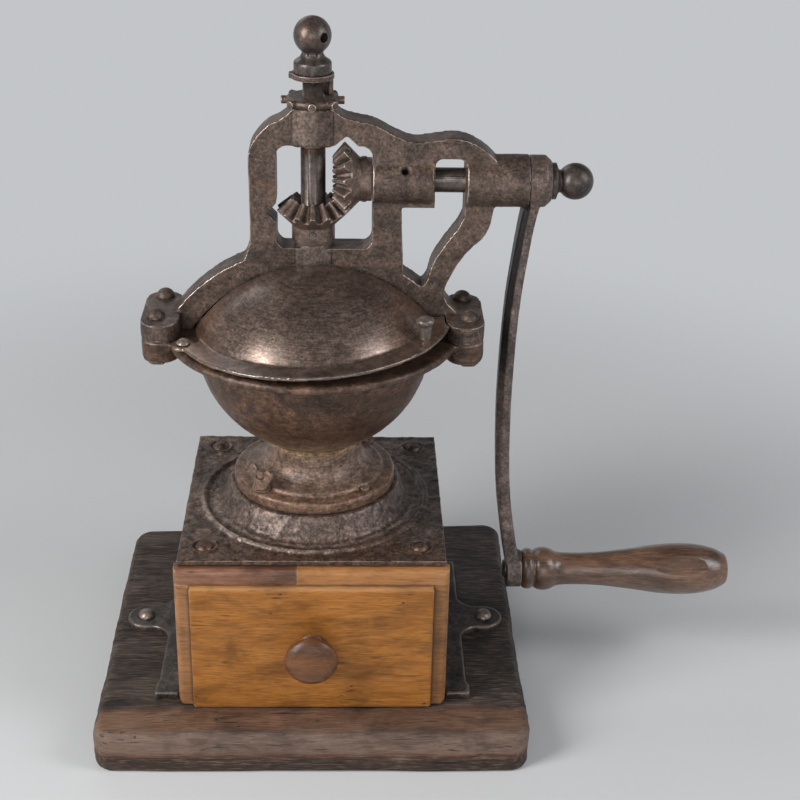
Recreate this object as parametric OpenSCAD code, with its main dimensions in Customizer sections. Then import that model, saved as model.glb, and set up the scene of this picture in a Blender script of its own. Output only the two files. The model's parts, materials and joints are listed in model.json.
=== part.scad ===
// Hand-cranked counter coffee mill: cast hopper and bridge, bevel gear drive,
// drawer in a cast case, all on a wooden base board.
// The origin is where the spindle's axis meets the table; +X is the crank's side, +Y the back.

/* [Base board] */
// Width of the wooden base board
board_w = 300; // [290:1:340]
// Depth of the base board
board_d = 268; // [240:1:300]
// Thickness of the base board
board_t = 33; // [24:1:45]
// How far the board's middle lies behind the spindle
board_back = 8; // [0:1:20]
// How much further back the board's right-hand back corner lies
board_skew = 11; // [0:0.5:16]
// Corner radius of the board in plan
board_corner = 14; // [10:1:25]
// Round-over along the board's top edge
board_round = 7; // [2:0.5:9]

/* [Case] */
// Outside width of the cast case
case_w = 177; // [170:1:178]
// Outside depth of the cast case
case_d = 167; // [160:1:168]
// Height of the case walls
case_h = 111.2; // [95:0.1:125]
// Thickness of the case walls
case_wall = 6; // [4:0.5:7]
// How far the side flanges stand out from the walls
flange_out = 20; // [14:0.5:24]
// Thickness of the side flanges
flange_t = 6; // [4:0.5:8]
// Radius of the cove between wall and flange
cove_r = 8; // [3:0.5:12]
// Radius of the rounded screw lugs on the flanges
lug_r = 14; // [10:0.5:16]
// How far the lugs' screws lie outside the walls
lug_out = 38; // [34:0.5:42]
// How far the lugs' screws lie behind the spindle
lug_back = 7; // [-5:1:15]
// Size of the corner blocks that take the plate screws
block_w = 15; // [12:0.5:18]
// Height of the corner blocks
block_h = 20; // [12:1:24]

/* [Top plate] */
// Width of the top plate
plate_w = 180; // [180:1:190]
// Depth of the top plate
plate_d = 178; // [172:1:184]
// Thickness of the top plate
plate_t = 4.3; // [3.5:0.1:8]
// Radius of the raised bead on the plate
bead_r = 79; // [70:0.5:80]
// Half width of the raised bead
bead_half = 2.4; // [1.5:0.1:3]
// Radius of the plate's middle boss at its foot
boss_foot_r = 65; // [62:0.5:70]
// Radius of the plate's middle boss at its top
boss_top_r = 59; // [57.5:0.5:61]
// Height of the plate's middle boss
boss_h = 15.5; // [12:0.5:20]
// Radius of the hollow curve round the boss's foot
boss_flare = 4; // [2:0.5:6]
// Radius of the coffee outlet through the plate
outlet_r = 31; // [30.5:0.1:32]
// How far the plate screws lie inside the case's outer sides
plate_screw_x = 15.5; // [13.5:0.5:18]
// How far the plate screws lie inside the case's front and back
plate_screw_y = 12.5; // [11.5:0.5:15]

/* [Hopper] */
// Radius of the hopper's foot flange
foot_r = 56.6; // [54:0.1:57]
// Thickness of the foot flange
foot_t = 9; // [7:0.5:12]
// Radius of the ledge round the foot of the neck
ledge_r = 47.5; // [46:0.5:49]
// Height of that ledge
ledge_h = 3; // [1:0.5:5]
// Radius of the neck where it is narrowest
neck_r = 33; // [32:0.5:35]
// Outside radius of the bowl
bowl_r = 80; // [76:0.5:82]
// Wall of the bowl
bowl_wall = 4.5; // [3:0.5:6]
// Height of the bowl's centre above the top plate's boss
bowl_up = 110; // [108:1:112]
// Outside radius of the rim flange
rim_r = 100; // [97:0.5:102]
// Thickness of the rim flange
rim_t = 6; // [4:0.5:7]
// Height of the rim's top face above the bowl's centre
rim_up = 8; // [7:0.5:9]
// Radius of the throat above the burrs
throat_r = 25; // [24.5:0.5:27]
// Distance of the ears' middle from the spindle
ear_x = 101.5; // [100.5:0.5:103]
// Half width of the ears
ear_r = 12.5; // [11.5:0.5:13]
// How far the ears reach to the front
ear_front = 35; // [32:0.5:37]
// How far the ears reach to the back
ear_back = 27; // [26:0.5:34]
// Thickness of the hopper's ears
ear_t = 15; // [10:0.5:17]
// Round-over along the ears' outer lower edge
ear_round = 5; // [1:0.5:6]
// How much further out than the ears' middle the front bolts stand
bolt_splay = 3; // [0:0.5:4]
// Distance of the foot's studs from the spindle
stud_at = 50.2; // [49.5:0.1:51]

/* [Burrs] */
// Outside radius of the fixed burr ring
burr_r = 34.5; // [33.5:0.1:35]
// Height of the fixed burr ring
burr_h = 13; // [12:0.5:13.5]
// Inside radius of the fixed burr ring at its foot
burr_foot_r = 30; // [29:0.1:30.4]
// Inside radius of the fixed burr ring at its top
burr_top_r = 23; // [21:0.1:24]
// Radial gap between the two burrs
burr_gap = 0.9; // [0.6:0.1:1.5]
// Height of the breaker cone on the inner burr
breaker_h = 17; // [12:1:19]
// Number of teeth on each burr
burr_teeth = 18; // [12:1:24]

/* [Bridge] */
// Thickness of the bridge casting, front to back
bridge_t = 20; // [18:0.5:22]
// Thickness of the bridge's feet
pad_t = 12; // [9:0.5:13]
// Inner radius of the bridge's arch
arch_in = 98.5; // [98:0.1:99.5]
// Outer radius of the bridge's arch
arch_out = 114.5; // [113:0.5:116]
// How far the arch's centre lies below the rim
arch_drop = 55.5; // [54.5:0.5:56.5]
// Height of the crank shaft's axis above the rim
axis_up = 103; // [102:0.5:104]
// Outer edge of the left post
post_out = 41.3; // [40:0.1:43]
// Inner edge of the left post
post_in = 23.8; // [23:0.1:25]
// Right edge of the gear window
window_right = 38.5; // [37.5:0.1:39]
// Right edge of the middle post
mid_post = 57.5; // [56:0.1:59]
// Top of the gear window above the shaft axis
window_up = 24.4; // [23.5:0.1:25]
// Sill of the gear window below the shaft axis
window_down = 45; // [44.5:0.1:46]
// Corner radius of the gear window
window_corner = 7; // [4:0.5:9]
// Top of the upper boss above the shaft axis
top_boss_up = 49; // [48:0.1:50]
// Radius of the upper boss
top_boss_r = 12.8; // [12:0.1:14]
// Radius of the lower boss
low_boss_r = 11.7; // [11:0.1:13]
// Top of the lower boss below the shaft axis
low_boss_down = 42; // [41.5:0.1:43]
// Radius of the inner crank boss
in_boss_r = 16.1; // [15:0.1:17]
// Right end of the inner crank boss
in_boss_end = 78; // [76:0.5:79]
// Radius of the outer crank boss
out_boss_r = 17.2; // [16:0.1:18]
// Left end of the outer crank boss
out_boss_start = 99.5; // [98:0.5:101]
// Right end of the outer crank boss
out_boss_end = 140; // [138:0.5:142]

/* [Shafts and gears] */
// Radius of the spindle
spindle_r = 8.1; // [7.5:0.1:8.5]
// Radius of the spindle's threaded stem
stem_r = 6.5; // [6:0.1:7]
// Radius of the crank shaft
shaft_r = 8.1; // [7.5:0.1:8.5]
// Teeth on each bevel gear
gear_teeth = 14; // [14:2:16]
// Pitch radius of the bevel gears at their outer end
gear_pitch_r = 22.3; // [22:0.1:22.6]
// Share of the pitch cone left inside the teeth
gear_inner = 0.6; // [0.55:0.01:0.65]
// Radius of the gear hubs
gear_hub_r = 14.2; // [13.5:0.1:14.6]
// Play between the teeth at the outer end
gear_play = 0.45; // [0.3:0.05:0.6]

/* [Crank] */
// Distance from the shaft axis to the grip axis
crank_len = 299; // [280:1:310]
// Thickness of the arm's hub
arm_hub_t = 14.6; // [13:0.1:16]
// Radius of the arm's hub
arm_hub_r = 17; // [16:0.1:18]
// How far the arm bows in towards the hopper
arm_bow = 13; // [11:0.5:14]
// Thickness of the arm at its middle
arm_t = 10; // [9:0.5:12]
// Width of the arm at its middle
arm_w = 18; // [14:0.5:22]
// Radius of the eye that holds the grip
eye_r = 13.6; // [13:0.1:15]
// Thickness of the eye
eye_t = 11; // [9:0.1:12]
// Side of the shaft's square end
square_side = 11.4; // [10:0.1:11.6]
// Length of the wooden grip
grip_len = 152; // [145:1:160]
// Largest radius of the grip
grip_r = 18.8; // [17:0.1:20]
// Radius of the grip's pin
grip_pin_r = 4.8; // [4:0.1:6]
// Radius of the ball on the crank's nut
ball_r = 12; // [11:0.1:13]

/* [Adjuster] */
// Radius of the adjusting nut without its lugs
nut_r = 17.5; // [16.5:0.1:18.5]
// Thickness of the adjusting nut
nut_t = 5.4; // [5:0.1:6.5]
// Radius of the lugs' round section
nut_lug_r = 2.6; // [2.2:0.1:2.7]
// Number of lugs on the adjusting nut
nut_lugs = 8; // [6:2:8]
// Clear stem between nut and lock plate
stem_clear = 11.5; // [9:0.5:14]
// Thickness of the lock plate
lock_t = 3.4; // [2.5:0.1:4]
// Radius of the finial's collar
collar_r = 12.1; // [11:0.1:13]
// Height of the finial's collar
collar_h = 6.5; // [5:0.5:8]
// Height of the finial's ball above its foot
finial_up = 23.5; // [22:0.5:26]

/* [Lid] */
// Radius of the lid's brim
lid_r = 93; // [92:0.1:94]
// How far the lid's centre lies in front of the spindle
lid_forward = 8; // [7:0.5:8.5]
// Thickness of the lid
lid_t = 2.6; // [2:0.1:3.4]
// Radius of the dome's foot
dome_r = 78; // [76:0.5:78.5]
// Height of the dome
dome_h = 40; // [36:0.5:43]
// Finger peg, out from the dome's foot
peg_out = 7.1; // [6.5:0.1:8]
// Finger peg, forward of the lid's right end, degrees
peg_turn = 29.6; // [25:0.1:35]
// How far the lid rises to the right
lid_tilt = 2.9; // [2.5:0.1:3.4]
// Pivot of the lid, left of the spindle
pivot_left = 84; // [83:0.5:85]
// Pivot of the lid, in front of the spindle
pivot_front = 42; // [41:0.5:43]
// Radius of the lid's pivot pin
pivot_r = 3; // [2.5:0.1:3.2]
// Radius of the lid's lug round the pivot
pivot_lug_r = 8; // [7:0.1:8.5]
// Gap between the bridge's axis and the covers' straight edges
cover_gap = 12.9; // [12.8:0.1:13.5]

/* [Drawer] */
// Width of the drawer front
front_w = 185; // [182:1:188]
// Thickness of the drawer front's border
front_t = 10; // [8:0.5:12]
// How far the raised field stands out
field_t = 4; // [2:0.5:6]
// Width of the border beside the field
border_w = 10.5; // [8:0.5:14]
// Width of the border above the field
border_up = 13.7; // [10:0.1:18]
// Where the repaired strip of the upper border ends
patch_end = -10; // [-30:1:10]
// Space left in the case behind the drawer
drawer_room = 15; // [3:1:40]
// Height of the drawer's sides
side_h = 74; // [60:1:78]
// Thickness of the drawer's sides
side_t = 8; // [6:0.5:10]
// Thickness of the drawer's bottom
bottom_t = 4; // [3:0.5:6]
// Radius of the knob's head
knob_r = 18; // [15:0.5:20]
// Length of the knob
knob_len = 27; // [24:0.5:30]
// Height of the knob above the base board
knob_up = 54; // [46:0.5:60]

/* [Fits] */
// Radial clearance of a running fit
run_gap = 0.05; // [0.02:0.01:0.08]
// Gap between pieces that move past each other
move_gap = 0.4; // [0.3:0.05:0.6]
// Radial clearance of a screw or stud in its hole
screw_gap = 0.05; // [0.02:0.01:0.2]

/* [Hidden] */
$fn = 96;

iron = "#4a4039";
steel = "#5a5048";
dark_wood = "#3a2d24";
honey_wood = "#a06c32";
brown_wood = "#5e3f28";

// Heights, from the table up
case_top = board_t + case_h;
plate_top = case_top + plate_t;
boss_top = plate_top + boss_h;
foot_top = boss_top + foot_t;
bowl_z = boss_top + bowl_up;
rim_top = bowl_z + rim_up;
rim_low = rim_top - rim_t;
ear_low = rim_top - ear_t;
pad_top = rim_top + pad_t;
arch_z = rim_top - arch_drop;
axis_z = rim_top + axis_up;
top_boss_top = axis_z + top_boss_up;
low_boss_top = axis_z - low_boss_down;
sill_z = axis_z - window_down;
head_z = axis_z + window_up;

// Fasteners; a bite is the length held in the piece below, and holes reach a little past what they hold
screw_r = 3;
screw_head_r = 6.5;
screw_past = 2;
board_bite = 20;
block_bite = 15;
screw_x = case_w / 2 - plate_screw_x;
screw_y = case_d / 2 - plate_screw_y;
bolt_r = 4.4;
bolt_head_r = 6.5;
bolt_head_h = 6;
bolt_y = 17.5;
stud_r = 3.2;
stud_bite = 11;
stud_up = 13;
dowel_bite = 7.5;
dowel_up = 1.8;
washer_r = 6.6;
washer_t = 1.6;
wing_foot = 8;
wing_out = 10.4;
wing_up = 11.6;
wing_round = 3.8;
wing_t = 2.8;
hex_r = 7.5;
hex_h = 5.5;
hole_past = 1;

// Burrs
burr_slope = (burr_foot_r - burr_top_r) / burr_h;
burr_top = boss_top + burr_h;

// Bevel gears: equal gears whose pitch cones meet where the two axes cross
gear_module = 2 * gear_pitch_r / gear_teeth;
gear_add = 0.9 * gear_module;
gear_ded = 1.2 * gear_module;
gear_press = 20;
virtual_r = gear_pitch_r * sqrt(2);
virtual_base = virtual_r * cos(gear_press);

// Crank
arm_start = out_boss_end + move_gap;
arm_end = arm_start + arm_hub_t;
eye_start = arm_start + 0.2;
eye_end = eye_start + eye_t;
grip_z = axis_z - crank_len;
grip_start = eye_end + move_gap;

// Adjuster, stacked on the upper boss
nut_z = top_boss_top + move_gap;
lock_z = nut_z + nut_t + stem_clear;
finial_z = lock_z + lock_t;

// Lid, on a pivot that leans with it
lid_z = rim_top + move_gap + pivot_lug_r * sin(lid_tilt);
dome_ball = (dome_r * dome_r + dome_h * dome_h) / (2 * dome_h);

// Drawer
front_back = -case_d / 2 - move_gap;
front_face = front_back - front_t - field_t;
front_low = board_t + 0.8;
front_top = case_top - 0.6;
field_top = front_top - border_up + 2;
drawer_half = case_w / 2 - case_wall - 0.5;
drawer_low = board_t + move_gap;
drawer_len = case_d - case_wall + move_gap - drawer_room;
knob_z = board_t + knob_up;

// Curves

// Point at share t between p1 and p2 of a curve through p0, p1, p2 and p3
function through(p0, p1, p2, p3, t) =
    0.5 * (2 * p1 + (p2 - p0) * t + (2 * p0 - 5 * p1 + 4 * p2 - p3) * t * t
    + (3 * p1 - p0 - 3 * p2 + p3) * t * t * t);

// Smooth curve from the second to the last but one of the points given
function curve(p, n = 5) = concat(
    [for (i = [1:len(p) - 3], k = [0:n - 1]) through(p[i - 1], p[i], p[i + 1], p[i + 2], k / n)],
    [p[len(p) - 2]]);

// Arc about c, from angle a to angle b
function arc(c, r, a, b, n = 24) =
    [for (k = [0:n]) let (t = a + (b - a) * k / n) c + r * [cos(t), sin(t)]];

// Shared shapes

// Stands an outline drawn in X and Z upright, with its thickness centred on the spindle
module upright(t) rotate([90, 0, 0]) linear_extrude(t, center = true) children();

// Turns a shape built along +Z to lie along +X, at the height of the crank shaft
module on_shaft() translate([0, 0, axis_z]) rotate([0, 90, 0]) children();

// Rectangle from a corner to the opposite one, with round corners
module round_rect(a, b, r) {
    translate([a[0] + r, a[1]]) square([b[0] - a[0] - 2 * r, b[1] - a[1]]);
    translate([a[0], a[1] + r]) square([b[0] - a[0], b[1] - a[1] - 2 * r]);
    for (x = [a[0] + r, b[0] - r], y = [a[1] + r, b[1] - r]) translate([x, y]) circle(r);
}

// Plan of one ear, on the right-hand side
module ear_plan(more = 0) {
    translate([ear_x - ear_r - more, ear_r - ear_front])
        square([2 * (ear_r + more), ear_front + ear_back - 2 * ear_r]);
    for (y = [ear_r - ear_front, ear_back - ear_r]) translate([ear_x, y]) circle(ear_r + more);
}

module both_sides() for (s = [0, 1]) mirror([s, 0, 0]) children();

// Domed head of radius r and height h, with its flat face on z = 0
module dome_head(r, h) {
    ball = (r * r + h * h) / (2 * h);
    intersection() {
        translate([0, 0, h - ball]) sphere(ball);
        cylinder(r = r + 1, h = h + 1);
    }
}

module hex(r, h) cylinder(r = r, h = h, $fn = 6);

module at_plate_screws()
    for (x = [-1, 1], y = [-1, 1]) translate([x * screw_x, y * screw_y, 0]) children();

module at_board_screws()
    both_sides() translate([case_w / 2 + lug_out, lug_back, 0]) children();

module at_bolts()
    both_sides() for (at = [[bolt_splay, -bolt_y], [0, bolt_y]])
        translate([ear_x + at[0], at[1], 0]) children();

// Studs stand front left and back right, dowels on the other diagonal
module at_studs() for (a = [225, 45]) rotate(a) translate([stud_at, 0, 0]) children();
module at_dowels() for (a = [315, 135]) rotate(a) translate([stud_at, 0, 0]) children();

module at_cover_screws()
    for (a = [45, 135]) rotate(a) translate([(dome_r + rim_r) / 2 - 1, 0, 0]) children();

// Puts a shape drawn on the rim into the leaning plane of the lid
module lid_place()
    translate([-pivot_left, -pivot_front, lid_z]) rotate([0, -lid_tilt, 0]) children();

// Base board and case

module board_post() rotate_extrude($fn = 32) polygon(concat(
    [[0, 0], [board_corner - 2, 0], [board_corner, 2]],
    arc([board_corner - board_round, board_t - board_round], board_round, 0, 90, 6),
    [[0, board_t]]));

module base_board() color(dark_wood) difference() {
    translate([0, board_back, 0]) hull() for (x = [-1, 1], y = [-1, 1])
        translate([x * (board_w / 2 - board_corner),
            y * (board_d / 2 - board_corner) + (x + 1) * (y + 1) / 4 * board_skew, 0]) board_post();
    at_board_screws() translate([0, 0, board_t - board_bite - screw_gap])
        cylinder(r = screw_r + screw_gap, h = board_bite + hole_past);
}

// Plan of the right-hand flange with its lug, drawn outward from the wall
module flange_plan() {
    wall = case_w / 2;
    edge = wall + flange_out;
    lug = [wall + lug_out, lug_back];
    side = lug[0] - edge - lug_r;
    drop = sqrt(pow(2 * lug_r, 2) - pow(side, 2));
    translate([wall - case_wall, -case_d / 2]) square([flange_out + case_wall, case_d]);
    // a short toe in front of the case, beside the drawer
    translate([front_w / 2 + 1, -case_d / 2 - 4]) square([edge + 2 - front_w / 2 - 1, 12]);
    translate(lug) circle(lug_r);
    difference() {
        polygon([[edge - 1, lug_back - drop], [edge, lug_back - drop],
            (lug + [edge + lug_r, lug_back - drop]) / 2, lug,
            (lug + [edge + lug_r, lug_back + drop]) / 2,
            [edge, lug_back + drop], [edge - 1, lug_back + drop]]);
        for (s = [-1, 1]) translate([edge + lug_r, lug_back + s * drop]) circle(lug_r);
    }
}

module case() color(iron) {
    inner = case_w / 2 - case_wall;
    difference() {
        union() {
            difference() {
                translate([-case_w / 2, -case_d / 2, board_t]) cube([case_w, case_d, case_h]);
                translate([-inner, -case_d / 2 - 1, board_t - 1])
                    cube([2 * inner, case_d - case_wall + 1, case_h + 2]);
            }
            both_sides() translate([0, 0, board_t]) linear_extrude(flange_t) difference() {
                flange_plan();
                translate([0, -case_d]) square([inner, 2 * case_d]);
            }
            both_sides() translate([case_w / 2, case_d / 2, board_t + flange_t]) rotate([90, 0, 0])
                linear_extrude(case_d) difference() {
                    square(cove_r);
                    translate([cove_r, cove_r]) circle(cove_r);
                }
            both_sides() for (y = [-1, 1])
                translate([inner - block_w, y * screw_y - block_w / 2, case_top - block_h])
                    cube([block_w + 1, block_w, block_h]);
        }
        at_board_screws() translate([0, 0, board_t - 1])
            cylinder(r = screw_r + screw_gap, h = flange_t + 2);
        at_plate_screws() translate([0, 0, case_top - block_bite - hole_past])
            cylinder(r = screw_r + screw_gap, h = block_bite + 2 * hole_past);
    }
}

module board_screws() color(steel) at_board_screws() {
    translate([0, 0, board_t + flange_t]) dome_head(screw_head_r, 5);
    translate([0, 0, board_t - board_bite]) cylinder(r = screw_r, h = board_bite + flange_t + 0.5);
}

// Top plate

module top_plate() color(iron) difference() {
    union() {
        translate([-plate_w / 2, -plate_d / 2, case_top]) cube([plate_w, plate_d, plate_t]);
        translate([0, 0, plate_top - 0.4]) rotate_extrude()
            translate([bead_r, 0]) circle(bead_half, $fn = 32);
        // boss, drawn out at its foot by a hollow curve
        flare = boss_foot_r + boss_flare;
        translate([0, 0, plate_top]) rotate_extrude() polygon(concat([[0, -1], [flare, -1]],
            arc([flare, boss_flare], boss_flare, 270, 200, 6), [[boss_top_r, boss_h], [0, boss_h]]));
        at_plate_screws() translate([0, 0, plate_top - 1]) cylinder(r = 9, h = 2);
    }
    translate([0, 0, case_top - 1]) cylinder(r = outlet_r, h = plate_t + boss_h + 2);
    at_plate_screws() translate([0, 0, case_top - 1]) cylinder(r = screw_r + screw_gap, h = plate_t + 4);
    at_plate_screws() translate([0, 0, plate_top - 0.5]) cylinder(r = screw_head_r + 0.8, h = 4);
    at_studs() translate([0, 0, boss_top - stud_bite - hole_past])
        cylinder(r = stud_r + screw_gap, h = stud_bite + 2 * hole_past);
    at_dowels() translate([0, 0, boss_top - dowel_bite - hole_past])
        cylinder(r = stud_r + screw_gap, h = dowel_bite + 2 * hole_past);
}

module plate_screws() color(steel) at_plate_screws() difference() {
    union() {
        translate([0, 0, plate_top - 0.5]) dome_head(screw_head_r, 4);
        translate([0, 0, case_top - block_bite]) cylinder(r = screw_r, h = plate_t + block_bite);
    }
    translate([-screw_head_r, -0.7, plate_top + 1.7]) cube([2 * screw_head_r, 1.4, 3]);
}

// Hopper: foot, neck, bowl, rim and ears in one casting

module hopper_solid() {
    translate([0, 0, boss_top]) cylinder(r = foot_r, h = foot_t - 1.5);
    translate([0, 0, foot_top - 1.5]) cylinder(r1 = foot_r, r2 = foot_r - 1.5, h = 1.5);
    translate([0, 0, foot_top - 1]) cylinder(r = ledge_r, h = ledge_h + 1);
    // the neck draws in from the ledge with a hollow curve
    waist = ledge_r - neck_r - 1;
    neck_h = bowl_z - sqrt(pow(bowl_r, 2) - pow(neck_r, 2)) + 1.5 - foot_top - ledge_h;
    translate([0, 0, foot_top + ledge_h]) rotate_extrude() difference() {
        translate([0, -1]) square([ledge_r - 1, neck_h + 1]);
        translate([ledge_r - 1, waist]) circle(waist);
        translate([neck_r, waist]) square([ledge_r, neck_h]);
    }
    intersection() {
        translate([0, 0, bowl_z]) sphere(bowl_r);
        cylinder(r = bowl_r + 1, h = rim_low + 1);
    }
    rotate_extrude() {
        translate([0, rim_low]) square([rim_r - rim_t / 2, rim_t]);
        translate([rim_r - rim_t / 2, rim_low + rim_t / 2]) circle(rim_t / 2);
    }
    both_sides() hopper_ear();
}

// One ear with its web to the bowl, rounded along its outer lower edge
module hopper_ear() intersection() {
    translate([0, 0, ear_low]) linear_extrude(ear_t) {
        ear_plan();
        translate([bowl_r - 6, ear_r - ear_front])
            square([ear_x - bowl_r + 6, ear_front + ear_back - 2 * ear_r]);
    }
    upright(3 * ear_front) polygon(concat([[0, rim_top + 1], [0, ear_low]],
        arc([ear_x + ear_r - ear_round, ear_low + ear_round], ear_round, -90, 0, 6),
        [[ear_x + ear_r, rim_top + 1]]));
}

module hopper() color(iron) difference() {
    hopper_solid();
    translate([0, 0, bowl_z]) sphere(bowl_r - bowl_wall);
    translate([0, 0, bowl_z]) cylinder(r = sqrt(pow(bowl_r - bowl_wall, 2) - pow(rim_up, 2)), h = rim_up + 1);
    translate([0, 0, boss_top - 1]) cylinder(r = throat_r, h = bowl_z - boss_top);
    translate([0, 0, boss_top - 1]) cylinder(r = burr_r + run_gap, h = burr_h + 1 + run_gap);
    at_bolts() translate([0, 0, ear_low - 1]) cylinder(r = bolt_r + screw_gap, h = ear_t + 2);
    at_studs() {
        translate([0, 0, boss_top - 1]) cylinder(r = stud_r + screw_gap, h = foot_t + 2);
        translate([0, 0, foot_top]) cylinder(r = washer_r + 0.6, h = 26);
    }
    at_dowels() translate([0, 0, boss_top - hole_past])
        cylinder(r = stud_r + screw_gap, h = foot_t + ledge_h + 2 * hole_past);
    at_cover_screws() translate([0, 0, rim_low - screw_past - hole_past])
        cylinder(r = screw_r + screw_gap, h = rim_t + screw_past + 2 * hole_past);
    lid_place() translate([0, 0, -2 * rim_t]) cylinder(r = pivot_r + run_gap, h = 3 * rim_t);
}

module outer_burr() color(steel) difference() {
    translate([0, 0, boss_top]) cylinder(r = burr_r, h = burr_h);
    translate([0, 0, boss_top]) cylinder(r1 = burr_foot_r, r2 = burr_top_r, h = burr_h);
    translate([0, 0, boss_top - 1]) cylinder(r = burr_foot_r, h = 1.01);
    translate([0, 0, burr_top - 0.01]) cylinder(r = burr_top_r, h = 1);
    // slanted grooves leave the teeth between them
    for (i = [0:burr_teeth - 1]) rotate(i * 360 / burr_teeth)
        translate([(burr_foot_r + burr_top_r) / 2 + 0.4, 0, boss_top + burr_h / 2])
            rotate([0, -atan(burr_slope), 0]) rotate([18, 0, 0]) rotate(45)
                cube([2.6, 2.6, 2 * burr_h], center = true);
}

module foot_studs() color(steel) at_studs()
    translate([0, 0, boss_top - stud_bite])
        cylinder(r = stud_r, h = stud_bite + foot_t + washer_t + stud_up);

module foot_washers() color(steel) at_studs() translate([0, 0, foot_top]) difference() {
    cylinder(r = washer_r, h = washer_t);
    translate([0, 0, -1]) cylinder(r = stud_r + screw_gap, h = washer_t + 2);
}

// Wing nut: a round nut with two upright ears, set across the radius
module wing_nuts() color(steel) at_studs() translate([0, 0, foot_top + washer_t]) difference() {
    union() {
        cylinder(r1 = washer_r - 0.4, r2 = stud_r + 1.8, h = wing_foot);
        rotate([90, 0, 90]) linear_extrude(wing_t, center = true) for (s = [0, 1]) mirror([s, 0]) {
            polygon([[stud_r, 1.5], [washer_r - 0.6, 1.5], [wing_out, wing_up - 2.1],
                [wing_out - wing_round - 1.6, wing_up + 1.9], [stud_r, wing_foot - 0.5]]);
            translate([wing_out - 3, wing_up]) circle(wing_round);
        }
    }
    translate([0, 0, -1]) cylinder(r = stud_r + screw_gap, h = 2 * stud_up);
}

module foot_dowels() color(steel) at_dowels()
    translate([0, 0, boss_top - dowel_bite]) cylinder(r = stud_r, h = dowel_bite + foot_t + dowel_up);

// Bridge

// Outer outline of the upright part of the bridge, closed along the middle of its arch
module bridge_outline() {
    mid = (arch_in + arch_out) / 2;
    h = axis_z;
    left = curve([[-post_out - 14, arch_z + 98], [-post_out - 5.5, arch_z + 104],
        [-post_out - 1.6, arch_z + 112], [-post_out, h - 34], [-post_out, h - 8], [-post_out, h + 18],
        [-post_out + 4.6, h + 29.4], [-post_out + 12.5, h + 37.6], [-post_out + 21, h + 42],
        [-top_boss_r, top_boss_top], [-top_boss_r + 5, top_boss_top + 6]]);
    right = curve([[top_boss_r - 4, top_boss_top + 6], [top_boss_r, top_boss_top],
        [top_boss_r + 7, h + 43.6], [28, h + 41.4], [39.5, h + 38.8], [52, h + 32.4],
        [63, h + 28], [72, h + 28], [81, h + 29.6], [90.5, h + 30.4], [100, h + 28.8],
        [110, h + 23.4], [118, h + out_boss_r - 0.6], [128, h + 9]]);
    leg = curve([[122, h], [118, h - out_boss_r + 1], [115.8, h - 28], [112.4, h - 35.4],
        [103.6, h - 44.5], [96.4, h - 54], [91.6, h - 63], [87.6, arch_z + 86], [88, arch_z + 79],
        [91, arch_z + 74], [97, arch_z + 68], [104, arch_z + 64]]);
    polygon(concat(left, right, [[122, h]], leg,
        arc([0, arch_z], mid, 36, 114, 30)));
}

// The window right of the middle post, in two parts
module side_window() {
    h = axis_z;
    round_rect([in_boss_end + 1, h - 26], [out_boss_start - 1, h + 17], 5);
    low = arch_out - 1.5;
    polygon(concat(
        [[in_boss_end + 4, h - in_boss_r], [mid_post, h - in_boss_r]],
        arc([0, arch_z], low, acos((mid_post + 2) / low), acos(72 / low), 6),
        curve([[68, arch_z + 88], [75, arch_z + 90.5], [78.5, h - 55.5], [84.7, h - 44.5],
            [90.5, h - 36], [out_boss_start - 3, h - 27], [out_boss_start - 1, h - 18],
            [out_boss_start - 1, h - 10]])));
}

module bridge_plan() difference() {
    union() {
        bridge_outline();
        intersection() {
            translate([0, arch_z]) difference() {
                circle(arch_out);
                circle(arch_in);
            }
            translate([-rim_r - 20, rim_top]) square([2 * rim_r + 40, arch_out]);
        }
    }
    round_rect([-post_in, sill_z], [window_right, head_z], window_corner);
    side_window();
    // the post and the top bar are cut back where the gears' teeth pass
    polygon([[-post_in + 1, axis_z - 28], [-post_in - 5.6, axis_z - 20.5], [-post_in + 1, axis_z - 13]]);
    polygon([[13, head_z - 1], [21.6, head_z + 7], [30.2, head_z - 1]]);
}

module bridge() color(iron) difference() {
    union() {
        upright(bridge_t) bridge_plan();
        both_sides() translate([0, 0, rim_top]) linear_extrude(pad_t) ear_plan();
        translate([0, 0, head_z]) cylinder(r = top_boss_r, h = top_boss_top - head_z);
        translate([0, 0, sill_z - 24]) cylinder(r = low_boss_r, h = low_boss_top - sill_z + 24);
        on_shaft() translate([0, 0, window_right]) cylinder(r = in_boss_r, h = in_boss_end - window_right);
        on_shaft() translate([0, 0, out_boss_start])
            cylinder(r = out_boss_r, h = out_boss_end - out_boss_start);
    }
    translate([0, 0, rim_top]) cylinder(r = spindle_r + run_gap, h = top_boss_up + axis_up + 10);
    on_shaft() translate([0, 0, window_right - 5])
        cylinder(r = shaft_r + run_gap, h = out_boss_end - window_right + 10);
    at_bolts() translate([0, 0, rim_top - 1]) cylinder(r = bolt_r + screw_gap, h = pad_t + 30);
    // oil hole in the inner crank boss, open to the front
    translate([(window_right + in_boss_end) / 2 + 1, 0, axis_z]) rotate([51, 0, 0]) {
        cylinder(r = 2.2, h = in_boss_r + 5);
        translate([0, 0, in_boss_r - 2]) cylinder(r1 = 2.2, r2 = 4.2, h = 2.2);
    }
}

module bridge_bolts() color(steel) at_bolts() {
    translate([0, 0, pad_top]) dome_head(bolt_head_r, bolt_head_h);
    translate([0, 0, ear_low - hex_h - 1]) cylinder(r = bolt_r, h = pad_top - ear_low + hex_h + 1.5);
}

module bridge_nuts() color(steel) at_bolts() translate([0, 0, ear_low - hex_h]) difference() {
    hex(hex_r, hex_h);
    translate([0, 0, -1]) cylinder(r = bolt_r + screw_gap, h = hex_h + 2);
}

// Lid and rear cover: two half domes with flat brims

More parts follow.
